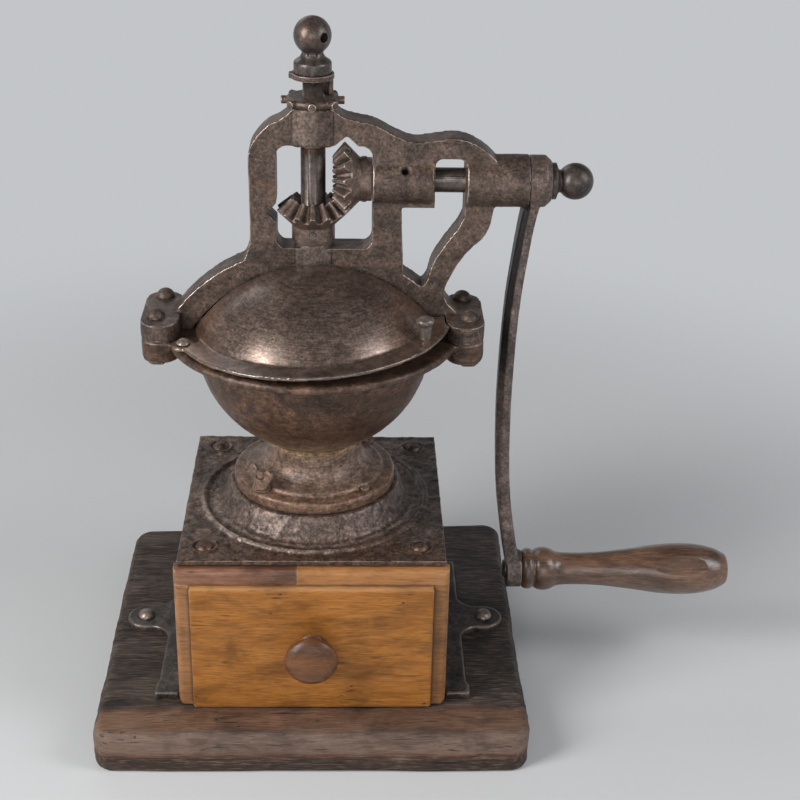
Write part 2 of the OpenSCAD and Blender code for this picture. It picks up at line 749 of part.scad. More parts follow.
// Plan of a half brim in front of the bridge, clear of the bridge's feet
module brim_plan(r, cy) difference() {
    translate([0, cy]) circle(r);
    translate([0, cy]) circle(dome_r - 2);
    translate([-2 * r, -cover_gap]) square([4 * r, 2 * r]);
    both_sides() ear_plan(0.8);
}

// Half dome standing on the brim's upper face
module half_dome(cy) difference() {
    translate([0, cy, lid_t + dome_h - dome_ball]) sphere(dome_ball);
    translate([0, cy, lid_t + dome_h - dome_ball]) sphere(dome_ball - lid_t);
    translate([-2 * dome_r, -2 * dome_r + cy, -2 * dome_ball]) cube([4 * dome_r, 4 * dome_r, 2 * dome_ball]);
    translate([-2 * dome_r, -cover_gap, -1]) cube([4 * dome_r, 2 * dome_r, 2 * dome_h]);
}

module lid() color(iron) lid_place() difference() {
    union() {
        translate([pivot_left, pivot_front, 0]) {
            linear_extrude(lid_t) difference() {
                brim_plan(lid_r, -lid_forward);
                translate([-pivot_left - 40, -pivot_front]) square([40 + pivot_left - dome_r + 3, 60]);
            }
            half_dome(-lid_forward);
        }
        cylinder(r = pivot_lug_r, h = lid_t);
    }
    translate([0, 0, -1]) cylinder(r = pivot_r + run_gap, h = lid_t + 8);
    translate([0, 0, lid_t]) cylinder(r = pivot_r + 3, h = 20);
}

module lid_pivot() color(steel) lid_place() {
    translate([0, 0, -rim_t - move_gap]) cylinder(r = pivot_r, h = rim_t + move_gap + lid_t + 1);
    translate([0, 0, lid_t + move_gap]) dome_head(pivot_r + 2, 3.4);
}

// Finger peg riveted to the brim, opposite the pivot
module lid_peg() color(steel) lid_place()
    translate([pivot_left, pivot_front - lid_forward, lid_t]) rotate(-peg_turn)
    translate([dome_r + peg_out, 0, 0]) rotate_extrude() polygon(concat(
        [[0, 0], [3.2, 0], [4.6, 10.5]],
        curve([[4.6, 9], [4.6, 10.5], [5.8, 12], [5.4, 14.4], [2.5, 15.6], [0, 15.8], [-2.5, 15.6]], 4)));

module rear_cover() color(iron) translate([0, 0, rim_top]) mirror([0, 1, 0]) difference() {
    union() {
        linear_extrude(lid_t) brim_plan(rim_r - 3, 0);
        half_dome(0);
    }
    mirror([0, 1, 0]) at_cover_screws() {
        translate([0, 0, -1]) cylinder(r = screw_r + screw_gap, h = lid_t + 8);
        translate([0, 0, lid_t]) cylinder(r = screw_head_r - 0.5, h = 20);
    }
}

module cover_screws() color(steel) at_cover_screws() difference() {
    union() {
        translate([0, 0, rim_top + lid_t]) dome_head(screw_head_r - 1, 3);
        translate([0, 0, rim_low - screw_past]) cylinder(r = screw_r, h = rim_t + lid_t + screw_past + 0.5);
    }
    translate([-screw_head_r, -0.6, rim_top + lid_t + 1.6]) cube([2 * screw_head_r, 1.2, 3]);
}

// Drawer

// The drawer front before its upper border was repaired: a border with a round edge and a raised field
module front_blank() {
    w = front_w / 2;
    f = w - border_w;
    edge = 4;
    // border, rounded along its sides and its top
    intersection() {
        translate([0, 0, front_low]) linear_extrude(front_top - front_low)
            translate([0, front_back]) mirror([0, 1]) {
                translate([-w, 0]) square([2 * w, front_t - edge]);
                translate([-w + edge, 0]) square([2 * (w - edge), front_t]);
                for (s = [-1, 1]) translate([s * (w - edge), front_t - edge]) circle(edge);
            }
        rotate([90, 0, 90]) linear_extrude(2 * w, center = true) {
            translate([front_back - front_t, front_low - 5])
                square([front_t, front_top - front_low - edge + 5]);
            translate([front_back - front_t + edge, front_low])
                square([front_t - edge, front_top - front_low]);
            translate([front_back - front_t + edge, front_top - edge]) circle(edge);
        }
        upright(1000) round_rect([-w, front_low], [w, front_top + 20], 5);
    }
    // raised field, down to the lower edge
    intersection() {
        translate([0, front_face + field_t + 1, 0]) rotate([90, 0, 0]) linear_extrude(field_t + 1)
            round_rect([-f, front_low], [f, field_top], 2);
        rotate([90, 0, 90]) linear_extrude(2 * w, center = true)
            polygon([[front_face + 1.2, front_low - 1], [front_back, front_low - 1], [front_back, field_top],
                [front_face + 2, field_top], [front_face, field_top - 2], [front_face, front_low + 1.2]]);
    }
}

module patch_space() translate([-front_w, front_face - 1, field_top + 0.4])
    cube([front_w + patch_end, front_t + field_t + 2, front_top]);

module drawer_front() color(honey_wood) difference() {
    front_blank();
    patch_space();
    translate([0, front_face - 1, knob_z]) rotate([-90, 0, 0])
        cylinder(r = screw_r + screw_gap, h = front_t + field_t + 2);
}

module drawer_patch() color(brown_wood) intersection() {
    front_blank();
    patch_space();
}

module drawer_side() color(honey_wood)
    translate([drawer_half - side_t, front_back, drawer_low]) cube([side_t, drawer_len, side_h]);

module drawer_right() drawer_side();
module drawer_left() mirror([1, 0, 0]) drawer_side();

module drawer_back() color(honey_wood)
    translate([side_t - drawer_half, front_back + drawer_len - side_t, drawer_low + 4])
        cube([2 * (drawer_half - side_t), side_t, side_h - 8]);

module drawer_bottom() color(honey_wood)
    translate([side_t - drawer_half, front_back, drawer_low + 4])
        cube([2 * (drawer_half - side_t), drawer_len - side_t, bottom_t]);

// Turned knob, its profile drawn outward from the drawer's face
module drawer_knob() color(brown_wood)
    translate([0, front_face, knob_z]) rotate([90, 0, 0]) difference() {
        rotate_extrude() polygon(concat([[0, 0], [9, 0], [9, 1.6]],
            curve([[10, 1], [9, 1.6], [6.6, 4], [6.2, 9], [9, 13.2], [knob_r - 2, 15.4], [knob_r, 18.4],
                [knob_r - 1.4, 21.6], [knob_r * 0.62, knob_len - 2], [0, knob_len],
                [-knob_r * 0.62, knob_len - 2]], 4)));
        translate([0, 0, -1]) cylinder(r = screw_r + screw_gap, h = 16);
    }

module knob_screw() color(steel) translate([0, front_back, knob_z]) {
    rotate([-90, 0, 0]) dome_head(screw_head_r, 3.5);
    rotate([90, 0, 0]) translate([0, 0, -0.5]) cylinder(r = screw_r, h = front_t + field_t + 14);
}

// Spindle and burr

module spindle() color(steel) difference() {
    union() {
        translate([0, 0, boss_top]) cylinder(r = spindle_r, h = top_boss_top - boss_top);
        translate([0, 0, boss_top - 16]) cylinder(r = stem_r, h = 17);
        translate([0, 0, top_boss_top - 1]) cylinder(r = stem_r, h = finial_z + 12 - top_boss_top);
    }
    translate([0, 0, low_boss_top + 8]) rotate([90, 0, 0])
        cylinder(r = 2 + screw_gap, h = 3 * spindle_r, center = true);
}

module inner_burr() color(steel) difference() {
    union() {
        translate([0, 0, boss_top])
            cylinder(r1 = burr_foot_r - burr_gap, r2 = burr_top_r - burr_gap, h = burr_h);
        translate([0, 0, burr_top - 0.01])
            cylinder(r1 = burr_top_r - burr_gap - 1.5, r2 = spindle_r + 4, h = breaker_h);
    }
    translate([0, 0, boss_top - 1]) cylinder(r = spindle_r + screw_gap, h = burr_h + breaker_h + 2);
    for (i = [0:burr_teeth - 1]) rotate((i + 0.5) * 360 / burr_teeth)
        translate([(burr_foot_r + burr_top_r) / 2 - burr_gap - 0.3, 0, boss_top + burr_h / 2])
            rotate([0, -atan(burr_slope), 0]) rotate([-18, 0, 0]) rotate(45)
                cube([2.4, 2.4, 2 * burr_h], center = true);
    // coarse flutes break the beans above the teeth
    for (i = [0:5]) rotate(i * 60) translate([burr_top_r - 2.5, 0, burr_top + breaker_h / 2 + 2])
        rotate([-24, -28, 0]) cylinder(r = 4, h = breaker_h + 12, center = true);
}

module burr_washer() color(steel) translate([0, 0, boss_top - 2.5]) difference() {
    cylinder(r = 14, h = 2.5);
    translate([0, 0, -1]) cylinder(r = stem_r + screw_gap, h = 5);
}

module burr_nut() color(steel) translate([0, 0, boss_top - 2.5 - 9]) difference() {
    hex(11.5, 9);
    translate([0, 0, -1]) cylinder(r = stem_r + screw_gap, h = 11);
}

// Bevel gears

function involute(rho) = rho <= virtual_base ? 0
    : tan(acos(virtual_base / rho)) * 180 / PI - acos(virtual_base / rho);

// Half the angle of a tooth about its gear's axis, at distance rho from the back cone's tip
function half_tooth(rho) = sqrt(2) * (90 / (gear_teeth * sqrt(2))
    - gear_play / 4 * 180 / PI / virtual_r + involute(virtual_r) - involute(rho));

// Radius where a line from the cones' common tip through that point meets the pitch plane
function plane_r(rho) = let (r = rho / sqrt(2)) r * gear_pitch_r / (2 * gear_pitch_r - r);

tooth_steps = [virtual_r - gear_ded, virtual_base, virtual_r, virtual_r + gear_add / 2, virtual_r + gear_add];

// Tooth outline in the plane one pitch radius from the cones' tip; phase turns it by part of a tooth
function gear_outline(phase) = [for (i = [0:gear_teeth - 1]) let (mid = (i + phase) * 360 / gear_teeth)
    each concat(
        [for (k = [0:4]) plane_r(tooth_steps[k])
            * [cos(mid - half_tooth(tooth_steps[k])), sin(mid - half_tooth(tooth_steps[k]))]],
        [for (k = [4:-1:0]) plane_r(tooth_steps[k])
            * [cos(mid + half_tooth(tooth_steps[k])), sin(mid + half_tooth(tooth_steps[k]))]])];

// Gear with the cones' common tip at the origin and its hub reaching down to depth hub_end
module bevel_gear(bore_r, hub_end, phase) {
    far = 2 * gear_pitch_r - gear_hub_r + 2;
    near = gear_pitch_r * gear_inner * 0.7;
    tip = gear_pitch_r + gear_add;
    difference() {
        union() {
            intersection() {
                translate([0, 0, -far]) linear_extrude(far - near, scale = near / far)
                    polygon(gear_outline(phase) * far / gear_pitch_r);
                rotate_extrude() polygon([
                    [0, -2 * gear_pitch_r * gear_inner],
                    [tip * gear_inner, tip * gear_inner - 2 * gear_pitch_r * gear_inner],
                    [tip, tip - 2 * gear_pitch_r],
                    [gear_hub_r, gear_hub_r - 2 * gear_pitch_r], [0, gear_hub_r - 2 * gear_pitch_r]]);
            }
            translate([0, 0, -hub_end])
                cylinder(r = gear_hub_r, h = hub_end - 2 * gear_pitch_r + gear_hub_r + 3);
        }
        translate([0, 0, -hub_end - 1]) cylinder(r = bore_r + screw_gap, h = hub_end + 2);
    }
}

module spindle_gear() color(iron) difference() {
    translate([0, 0, axis_z]) bevel_gear(spindle_r, low_boss_down - move_gap, 0.5);
    translate([0, 0, low_boss_top + 8]) rotate([90, 0, 0])
        cylinder(r = 2 + screw_gap, h = 3 * gear_hub_r, center = true);
}

module spindle_pin() color(steel) translate([0, 0, low_boss_top + 8]) rotate([90, 0, 0])
    cylinder(r = 2, h = 2 * gear_hub_r + 1.6, center = true);

module crank_gear() color(iron) difference() {
    on_shaft() rotate([180, 0, 0]) bevel_gear(shaft_r, window_right - move_gap, 0);
    translate([window_right - 5.5, 0, axis_z]) cylinder(r = 2 + screw_gap, h = 3 * gear_hub_r, center = true);
}

module crank_pin() color(steel) translate([window_right - 5.5, 0, axis_z])
    cylinder(r = 2, h = 2 * gear_hub_r + 1.6, center = true);

// Adjuster on top of the spindle

module adjusting_nut() color(iron) translate([0, 0, nut_z]) difference() {
    union() {
        rotate_extrude() {
            square([nut_r - nut_t / 2, nut_t]);
            translate([nut_r - nut_t / 2, nut_t / 2]) circle(nut_t / 2);
        }
        for (i = [0:nut_lugs - 1]) rotate(i * 360 / nut_lugs) translate([0, 0, nut_t / 2]) rotate([0, 90, 0])
            translate([0, 0, nut_r - 6]) cylinder(r = nut_lug_r, h = 8.8);
    }
    translate([0, 0, -1]) cylinder(r = stem_r + run_gap, h = nut_t + 2);
}

// Lock plate: a washer drawn out to a point, with a tail bent down to the nut
module lock_plate() color(steel) translate([0, 0, lock_z]) difference() {
    union() {
        linear_extrude(lock_t) {
            circle(collar_r + 1.6);
            polygon([[-collar_r - 3, 2], [-collar_r - 3, -2], [-6, -12], [-6, 12]]);
        }
        rotate(32) translate([collar_r - 2.4, -4, -stem_clear + 0.2])
            cube([3.2, 8, stem_clear + lock_t - 0.2]);
    }
    translate([0, 0, -stem_clear]) cylinder(r = stem_r + run_gap, h = stem_clear + lock_t + 1);
}

module ball_finial() color(iron) translate([0, 0, finial_z]) difference() {
    union() {
        cylinder(r = collar_r, h = collar_h);
        rotate_extrude() polygon(concat([[0, collar_h - 1], [collar_r, collar_h - 1]],
            curve([[collar_r + 2, collar_h - 3], [collar_r - 0.4, collar_h + 0.8], [8.4, collar_h + 3.2],
                [6.9, collar_h + 6.2], [8, finial_up - 8], [10, finial_up - 5]], 4),
            [[0, finial_up - 8]]));
        translate([0, 0, finial_up]) sphere(ball_r);
    }
    translate([0, 0, -1]) cylinder(r = stem_r + run_gap, h = 14);
    // hole for a tommy bar
    translate([0, 0, finial_up]) rotate([90, 0, 42]) cylinder(r = 3, h = 4 * ball_r, center = true);
}

// Crank

module crank_shaft() color(steel) difference() {
    on_shaft() {
        translate([0, 0, gear_pitch_r * gear_inner + 2])
            cylinder(r = shaft_r, h = out_boss_end - gear_pitch_r * gear_inner - 2);
        translate([-square_side / 2, -square_side / 2, out_boss_end - 1])
            cube([square_side, square_side, arm_end - out_boss_end + 1]);
        translate([0, 0, arm_end - 1]) cylinder(r = square_side / 2 - 0.5, h = 10);
    }
    translate([window_right - 5.5, 0, axis_z]) cylinder(r = 2 + screw_gap, h = 3 * shaft_r, center = true);
}

// Arm: a bar swept from the hub down to the eye, broadly bevelled on the side towards the hopper
// each row holds the middle across the arm, the height, half the thickness, half the width and the bevel
function arm_rows() = let (a = arm_start, z = axis_z, l = crank_len, t = arm_t / 2, w = arm_w / 2) curve([
    [a + 9, z + 10, t + 0.8, w + 4, 3], [a + 5.5, z - 4, t + 0.3, w + 3.6, 3.6],
    [a + 1.2, z - 20, t - 0.3, w + 3, 4.4],
    [a - arm_bow * 0.21, z - 48, t - 0.3, w + 2, 4.6], [a - arm_bow * 0.53, z - 92, t - 0.2, w + 0.8, 4.6],
    [a - arm_bow * 0.66, z - l * 0.53, t - 0.1, w, 4.4], [a - arm_bow * 0.46, z - l * 0.75, t - 0.3, w, 3.2],
    [a + 0.6, z - l * 0.91, t, w + 0.6, 1.2], [a + eye_t / 2, z - l + 4, eye_t / 2, eye_r - 3.6, 1],
    [a + eye_t, z - l - 12, eye_t / 2, eye_r - 3.6, 1]], 5);

function arm_ring(r) = [[r[0] - r[2], r[4] - r[3], r[1]], [r[0] - r[2] + r[4], -r[3], r[1]],
    [r[0] + r[2] - 1, -r[3], r[1]], [r[0] + r[2], 1 - r[3], r[1]], [r[0] + r[2], r[3] - 1, r[1]],
    [r[0] + r[2] - 1, r[3], r[1]], [r[0] - r[2] + r[4], r[3], r[1]], [r[0] - r[2], r[3] - r[4], r[1]]];

module arm_bar() {
    rows = arm_rows();
    n = len(rows);
    polyhedron([for (r = rows) each arm_ring(r)], concat([[7, 6, 5, 4, 3, 2, 1, 0]],
        [for (i = [0:n - 2], j = [0:7]) [8 * i + j, 8 * i + (j + 1) % 8, 8 * i + 8 + (j + 1) % 8]],
        [for (i = [0:n - 2], j = [0:7]) [8 * i + j, 8 * i + 8 + (j + 1) % 8, 8 * i + 8 + j]],
        [[for (j = [0:7]) 8 * n - 8 + j]]), convexity = 4);
}

module crank_arm() color(iron) difference() {
    union() {
        on_shaft() translate([0, 0, arm_start]) cylinder(r = arm_hub_r, h = arm_hub_t - 4);
        on_shaft() translate([0, 0, arm_end - 4]) cylinder(r1 = arm_hub_r, r2 = arm_hub_r - 3.6, h = 4);
        translate([eye_start, 0, grip_z]) rotate([0, 90, 0]) cylinder(r = eye_r, h = eye_t);
        // nothing of the arm reaches over the bridge's outer boss
        difference() {
            arm_bar();
            on_shaft() translate([0, 0, arm_start - 60]) cylinder(r = out_boss_r + 1.5, h = 60);
        }
    }
    on_shaft() translate([-square_side / 2 - screw_gap, -square_side / 2 - screw_gap, arm_start - 1])
        cube([square_side + 2 * screw_gap, square_side + 2 * screw_gap, arm_hub_t + 2]);
    translate([eye_start - 10, 0, grip_z]) rotate([0, 90, 0])
        cylinder(r = grip_pin_r + screw_gap, h = eye_t + 20);
    translate([eye_start - 20, 0, grip_z]) rotate([0, 90, 0]) cylinder(r = grip_pin_r + 3, h = 20);
}

// Nut with a ball end that holds the arm on the shaft's square
module ball_nut() color(iron) on_shaft() translate([0, 0, arm_end]) difference() {
    union() {
        cylinder(r = ball_r, h = 3.4);
        rotate_extrude() polygon(concat([[0, 2], [ball_r - 0.5, 3]],
            curve([[ball_r + 2, 2], [ball_r - 0.5, 3.4], [8, 5], [6.8, 7], [8.4, 9], [11, 11.5]], 4),
            [[0, 9.5]]));
        translate([0, 0, 4 + ball_r]) sphere(ball_r);
    }
    translate([0, 0, -1]) cylinder(r = square_side / 2 - 0.5 + screw_gap, h = 11);
}

module grip_pin() color(steel) translate([eye_start, 0, grip_z]) rotate([0, 90, 0]) {
    translate([0, 0, -2.2]) cylinder(r1 = grip_pin_r + 1, r2 = grip_pin_r + 2.4, h = 2.2);
    translate([0, 0, -0.5]) cylinder(r = grip_pin_r, h = eye_t + grip_len - 5);
    translate([0, 0, eye_t + grip_len - 6]) cylinder(r = grip_pin_r + 2, h = 3);
}

// Turned grip: two beads, a waist and a swelling, drawn along its axis
module grip() color(brown_wood) translate([grip_start, 0, grip_z]) rotate([0, 90, 0]) difference() {
    rotate_extrude() polygon(concat(
        [[0, 0], [13, 0]],
        curve([[12, -1], [13, 0], [14.8, 2.4], [14.9, 6], [13.4, 8.6], [15, 11], [16, 15.5],
            [15, 21], [12.6, 26], [11.8, 34], [11.9, 48], [12.8, 62], [15.2, grip_len - 70],
            [17.8, grip_len - 52], [grip_r, grip_len - 36], [18.2, grip_len - 22], [15.6, grip_len - 10],
            [12.6, grip_len - 3.5], [10.6, grip_len - 0.6], [9, grip_len], [7, grip_len]], 3),
        [[0, grip_len]]));
    translate([0, 0, -1]) cylinder(r = grip_pin_r + run_gap, h = grip_len + 2);
    translate([0, 0, grip_len - 7]) cylinder(r = grip_pin_r + 2 + move_gap, h = 10);
}

base_board();
case();
board_screws();
top_plate();
plate_screws();
hopper();
outer_burr();
foot_studs();
foot_washers();
wing_nuts();
foot_dowels();
bridge();
bridge_bolts();
bridge_nuts();
rear_cover();
cover_screws();
lid_pivot();
lid();
lid_peg();
drawer_front();
drawer_patch();
drawer_left();
drawer_right();
drawer_back();
drawer_bottom();
drawer_knob();
knob_screw();
spindle();
spindle_gear();
spindle_pin();
inner_burr();
burr_washer();
burr_nut();
adjusting_nut();
lock_plate();
ball_finial();
crank_shaft();
crank_gear();
crank_pin();
crank_arm();
ball_nut();
grip_pin();
grip();
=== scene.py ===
import json
import math
import bmesh
import bpy
import numpy as np
from mathutils import Matrix, Vector


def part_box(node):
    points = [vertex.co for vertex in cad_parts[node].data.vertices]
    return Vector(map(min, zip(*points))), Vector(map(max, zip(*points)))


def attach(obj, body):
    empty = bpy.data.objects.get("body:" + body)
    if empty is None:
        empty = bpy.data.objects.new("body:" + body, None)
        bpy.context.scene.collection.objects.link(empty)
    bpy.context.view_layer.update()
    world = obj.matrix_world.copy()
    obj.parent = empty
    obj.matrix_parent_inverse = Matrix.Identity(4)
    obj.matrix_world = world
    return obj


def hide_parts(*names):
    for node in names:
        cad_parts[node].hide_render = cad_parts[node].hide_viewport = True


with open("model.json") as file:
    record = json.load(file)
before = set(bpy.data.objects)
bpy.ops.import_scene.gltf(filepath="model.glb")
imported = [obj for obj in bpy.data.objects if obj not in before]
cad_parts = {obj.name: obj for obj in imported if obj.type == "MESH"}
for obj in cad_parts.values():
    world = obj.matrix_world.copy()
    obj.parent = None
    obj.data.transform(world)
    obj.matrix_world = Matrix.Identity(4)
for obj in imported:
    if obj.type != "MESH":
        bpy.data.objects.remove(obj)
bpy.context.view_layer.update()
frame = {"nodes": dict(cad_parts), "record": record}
nodes = frame["nodes"]
scene = bpy.context.scene
bodyOf = {n: b for b, group in frame["record"]["behaviour"]["bodies"].items() for n in group}
print("frame:", len(nodes), "nodes")

# camera at the photograph's viewing angle, for an 800 x 800 picture
cameraSet = {"place": (0.024, -0.960, 0.704), "focal": 1539.0, "pitch": 26.53, "yaw": 2.13, "roll": 1.30}


def placeCamera(s):
    # forward from yaw and pitch, then the picture turned by the roll
    p, y, r = (math.radians(s[k]) for k in ("pitch", "yaw", "roll"))
    right = Vector((math.cos(y), -math.sin(y), 0))
    level = Vector((math.sin(y), math.cos(y), 0))
    ahead = level * math.cos(p) - Vector((0, 0, math.sin(p)))
    up = level * math.sin(p) + Vector((0, 0, math.cos(p)))
    across = right * math.cos(r) + up * math.sin(r)
    upright = -right * math.sin(r) + up * math.cos(r)
    data = bpy.data.cameras.new("pictureCamera")
    data.sensor_width = 36
    data.lens = s["focal"] / 800 * 36
    data.clip_start, data.clip_end = 0.01, 60
    cam = bpy.data.objects.new("pictureCamera", data)
    scene.collection.objects.link(cam)
    turn = Matrix((across, upright, -ahead)).transposed().to_4x4()
    cam.matrix_world = Matrix.Translation(s["place"]) @ turn
    scene.camera = cam


placeCamera(cameraSet)
scene.view_settings.view_transform = "Standard"

# soft studio light: a tall box on the left, a weaker one on the right, faint ones in front and behind
lampSet = {
    "left": {"place": (-1.02, -0.72, 0.86), "size": (0.50, 0.95), "power": 21.0,
             "colour": (1.0, 0.985, 0.96)},
    "right": {"place": (1.08, -0.46, 0.92), "size": (0.50, 0.80), "power": 8.0,
              "colour": (0.98, 0.985, 1.0)},
    "front": {"place": (0.12, -1.60, 0.62), "size": (1.20, 0.70), "power": 6.5,
              "colour": (1.0, 0.99, 0.98)},
    "back": {"place": (-0.55, 1.10, 1.10), "size": (0.90, 0.60), "power": 2.2,
             "colour": (0.98, 0.99, 1.0)},
}
aimPoint = Vector((0.02, -0.02, 0.24))
for lampName, s in lampSet.items():
    data = bpy.data.lights.new(lampName + "Lamp", "AREA")
    data.shape, data.energy, data.color = "RECTANGLE", s["power"], s["colour"]
    data.size, data.size_y = s["size"]
    lamp = bpy.data.objects.new(lampName + "Lamp", data)
    scene.collection.objects.link(lamp)
    lamp.location = s["place"]
    lamp.rotation_euler = (aimPoint - Vector(s["place"])).to_track_quat("-Z", "Y").to_euler()
roomSet = {"colour": (0.94, 0.965, 1.0), "level": 0.58, "overhead": 0.15, "fade": (0.0, 0.55)}


# node helpers
def addNode(tree, kind, inputs=None, **settings):
    n = tree.nodes.new(kind)
    for k, v in settings.items():
        setattr(n, k, v)
    for k, v in (inputs or {}).items():
        if isinstance(v, bpy.types.NodeSocket):
            tree.links.new(v, n.inputs[k])
        else:
            n.inputs[k].default_value = v
    return n


def calc(tree, how, a, b=0.0, c=0.0, clamp=False):
    return addNode(tree, "ShaderNodeMath", {0: a, 1: b, 2: c}, operation=how, use_clamp=clamp).outputs[0]


def ease(tree, value, low, high, start=0.0, end=1.0):
    # smooth step from start to end while value goes from low to high
    return addNode(tree, "ShaderNodeMapRange", {0: value, 1: low, 2: high, 3: start, 4: end},
                   interpolation_type="SMOOTHSTEP").outputs[0]


def tint(tree, share, a, b):
    rgba = [x if isinstance(x, bpy.types.NodeSocket) else (*x, 1.0) for x in (a, b)]
    return addNode(tree, "ShaderNodeMix", {0: share, 6: rgba[0], 7: rgba[1]}, data_type="RGBA",
                   clamp_factor=True).outputs[2]


def stretch(tree, vector, scale, shift=(0, 0, 0)):
    return addNode(tree, "ShaderNodeMapping",
                   {"Vector": vector, "Scale": scale, "Location": shift}).outputs[0]


def cloud(tree, vector, scale, detail=3.0, rough=0.55, warp=0.0):
    return addNode(tree, "ShaderNodeTexNoise", {"Vector": vector, "Scale": scale, "Detail": detail,
                                                "Roughness": rough, "Distortion": warp}).outputs[0]


def newGroup(name, ins, outs):
    tree = bpy.data.node_groups.new(name, "ShaderNodeTree")
    for n, kind in ins:
        tree.interface.new_socket(name=n, in_out="INPUT", socket_type=kind)
    for n, kind in outs:
        tree.interface.new_socket(name=n, in_out="OUTPUT", socket_type=kind)
    return tree, tree.nodes.new("NodeGroupInput").outputs, tree.nodes.new("NodeGroupOutput").inputs


def place(tree, group, inputs):
    n = tree.nodes.new("ShaderNodeGroup")
    n.node_tree = group
    for k, v in inputs.items():
        if isinstance(v, bpy.types.NodeSocket):
            tree.links.new(v, n.inputs[k])
        else:
            n.inputs[k].default_value = v
    return n.outputs


def vectorCalc(tree, how, a, b):
    return addNode(tree, "ShaderNodeVectorMath", {0: a, 1: b}, operation=how).outputs[0]


def shaded(tree, colour, value):
    return addNode(tree, "ShaderNodeVectorMath", {0: colour, 3: value}, operation="SCALE").outputs[0]


def vectorLength(tree, vector):
    return addNode(tree, "ShaderNodeVectorMath", {0: vector}, operation="LENGTH").outputs["Value"]


def paleRoom(s):
    # pale at the horizon, dimmer overhead
    room = bpy.data.worlds.new("paleRoom")
    scene.world = room
    room.use_nodes = True
    t = room.node_tree
    ahead = t.nodes.new("ShaderNodeTexCoord").outputs["Generated"]
    upward = addNode(t, "ShaderNodeSeparateXYZ", {0: ahead}).outputs[2]
    t.nodes["Background"].inputs["Color"].default_value = (*s["colour"], 1)
    strength = ease(t, upward, *s["fade"], s["level"], s["overhead"])
    t.links.new(strength, t.nodes["Background"].inputs["Strength"])


paleRoom(roomSet)
print("camera and light set")


# noise of the zones' ragged borders
borderSet = {"stretch": (0.5, 1, 1), "scale": 75, "detail": 4, "rough": 0.65, "reach": 2.4}


def zoned(tree, colour, point, zones):
    # each zone mixes a colour in between two values of x, y, z or r, the radius about Z; the last number in
    # where is the softness of its ragged border
    if not zones:
        return colour
    b = borderSet
    axes = dict(zip("xyz", addNode(tree, "ShaderNodeSeparateXYZ", {0: point}).outputs))
    axes["r"] = vectorLength(tree, vectorCalc(tree, "MULTIPLY", point, (1, 1, 0)))
    ragged = cloud(tree, stretch(tree, point, b["stretch"]), b["scale"], b["detail"], b["rough"])
    for z in zones:
        share = z["share"]
        for axis, low, high, soft in z["where"]:
            drift = calc(tree, "MULTIPLY_ADD", ragged, b["reach"] * soft, -0.5 * b["reach"] * soft)
            at = calc(tree, "ADD", axes[axis], drift)
            inside = calc(tree, "MULTIPLY", ease(tree, at, low - soft, low + soft),
                          ease(tree, at, high - soft, high + soft, 1.0, 0.0))
            share = calc(tree, "MULTIPLY", inside, share)
        colour = tint(tree, share, colour, z["colour"])
    return colour


floatKind, vectorKind = "NodeSocketFloat", "NodeSocketVector"


# noise of the cast skin: cells per metre, octaves, roughness and warp
skinSet = {
    "blotch": {"scale": 42, "detail": 6, "rough": 0.66, "warp": 0.5},
    "mottle": {"scale": 190, "detail": 4, "rough": 0.62, "warp": 0.6},
    "rust": {"scale": 26, "detail": 6, "rough": 0.68, "warp": 0.8},
    "speck": {"scale": 480, "detail": 3, "rough": 0.6},
    "grit": {"scale": 560, "detail": 4, "rough": 0.70},
    "lump": {"scale": 170, "detail": 3, "rough": 0.5},
    "streak": {"scale": 1, "detail": 3, "rough": 0.6},
}
streakScale = (130, 130, 1250)  # brushed round Z
rustShift = (3.1, 1.7, 0.4)
pitSet = {"scale": 240.0, "size": (0.10, 0.26), "lumps": (0.46, 0.62)}
skinHeight = {"speck": 0.35, "lump": 0.9, "pit": 0.45}


def makeCastSkin():
    # blotches of patina, fine specks, brushed streaks, small pits and the height of a cast skin
    outs = ("Blotch", "Mottle", "Rust", "Speck", "Grit", "Streak", "Pit", "Height")
    t, i, o = newGroup("castSkin", [("Point", vectorKind)], [(n, floatKind) for n in outs])
    point = i["Point"]
    blotch, mottle, speck, grit, lump = (
        cloud(t, point, **skinSet[n]) for n in ("blotch", "mottle", "speck", "grit", "lump"))
    rust = cloud(t, stretch(t, point, (1, 1, 1), shift=rustShift), **skinSet["rust"])
    streak = cloud(t, stretch(t, point, streakScale), **skinSet["streak"])
    cell = addNode(t, "ShaderNodeTexVoronoi", {"Vector": point, "Scale": pitSet["scale"]})
    pit = ease(t, cell.outputs["Distance"], *pitSet["size"], 1.0, 0.0)
    pit = calc(t, "MULTIPLY", pit, ease(t, lump, *pitSet["lumps"]))
    high = calc(t, "MULTIPLY", lump, skinHeight["lump"])
    high = calc(t, "MULTIPLY_ADD", speck, skinHeight["speck"], high)
    high = calc(t, "SUBTRACT", high, calc(t, "MULTIPLY", pit, skinHeight["pit"]))
    for n, v in zip(outs, (blotch, mottle, rust, speck, grit, streak, pit, high)):
        t.links.new(v, o[n])
    return t


wearAndHighlightSet = {"scale": 90, "detail": 4, "rough": 0.65, "swing": 1.1, "shift": -0.60, "from": 0.30, "to": 0.90}


def makeEdgeWearAndHighlight():
    # wear along edges, broken up by noise, also a painted highlight where rounded edges catch light
    s = wearAndHighlightSet
    t, i, o = newGroup("edgeWearAndHighlight", [("EdgeRidge", floatKind), ("Point", vectorKind), ("Amount", floatKind)],
                       [("Mask", floatKind)])
    patchy = cloud(t, i["Point"], s["scale"], s["detail"], s["rough"])
    raised = calc(t, "ADD", i["EdgeRidge"], calc(t, "MULTIPLY_ADD", patchy, s["swing"], s["shift"]))
    t.links.new(calc(t, "MULTIPLY", ease(t, raised, s["from"], s["to"]), i["Amount"]), o["Mask"])
    return t


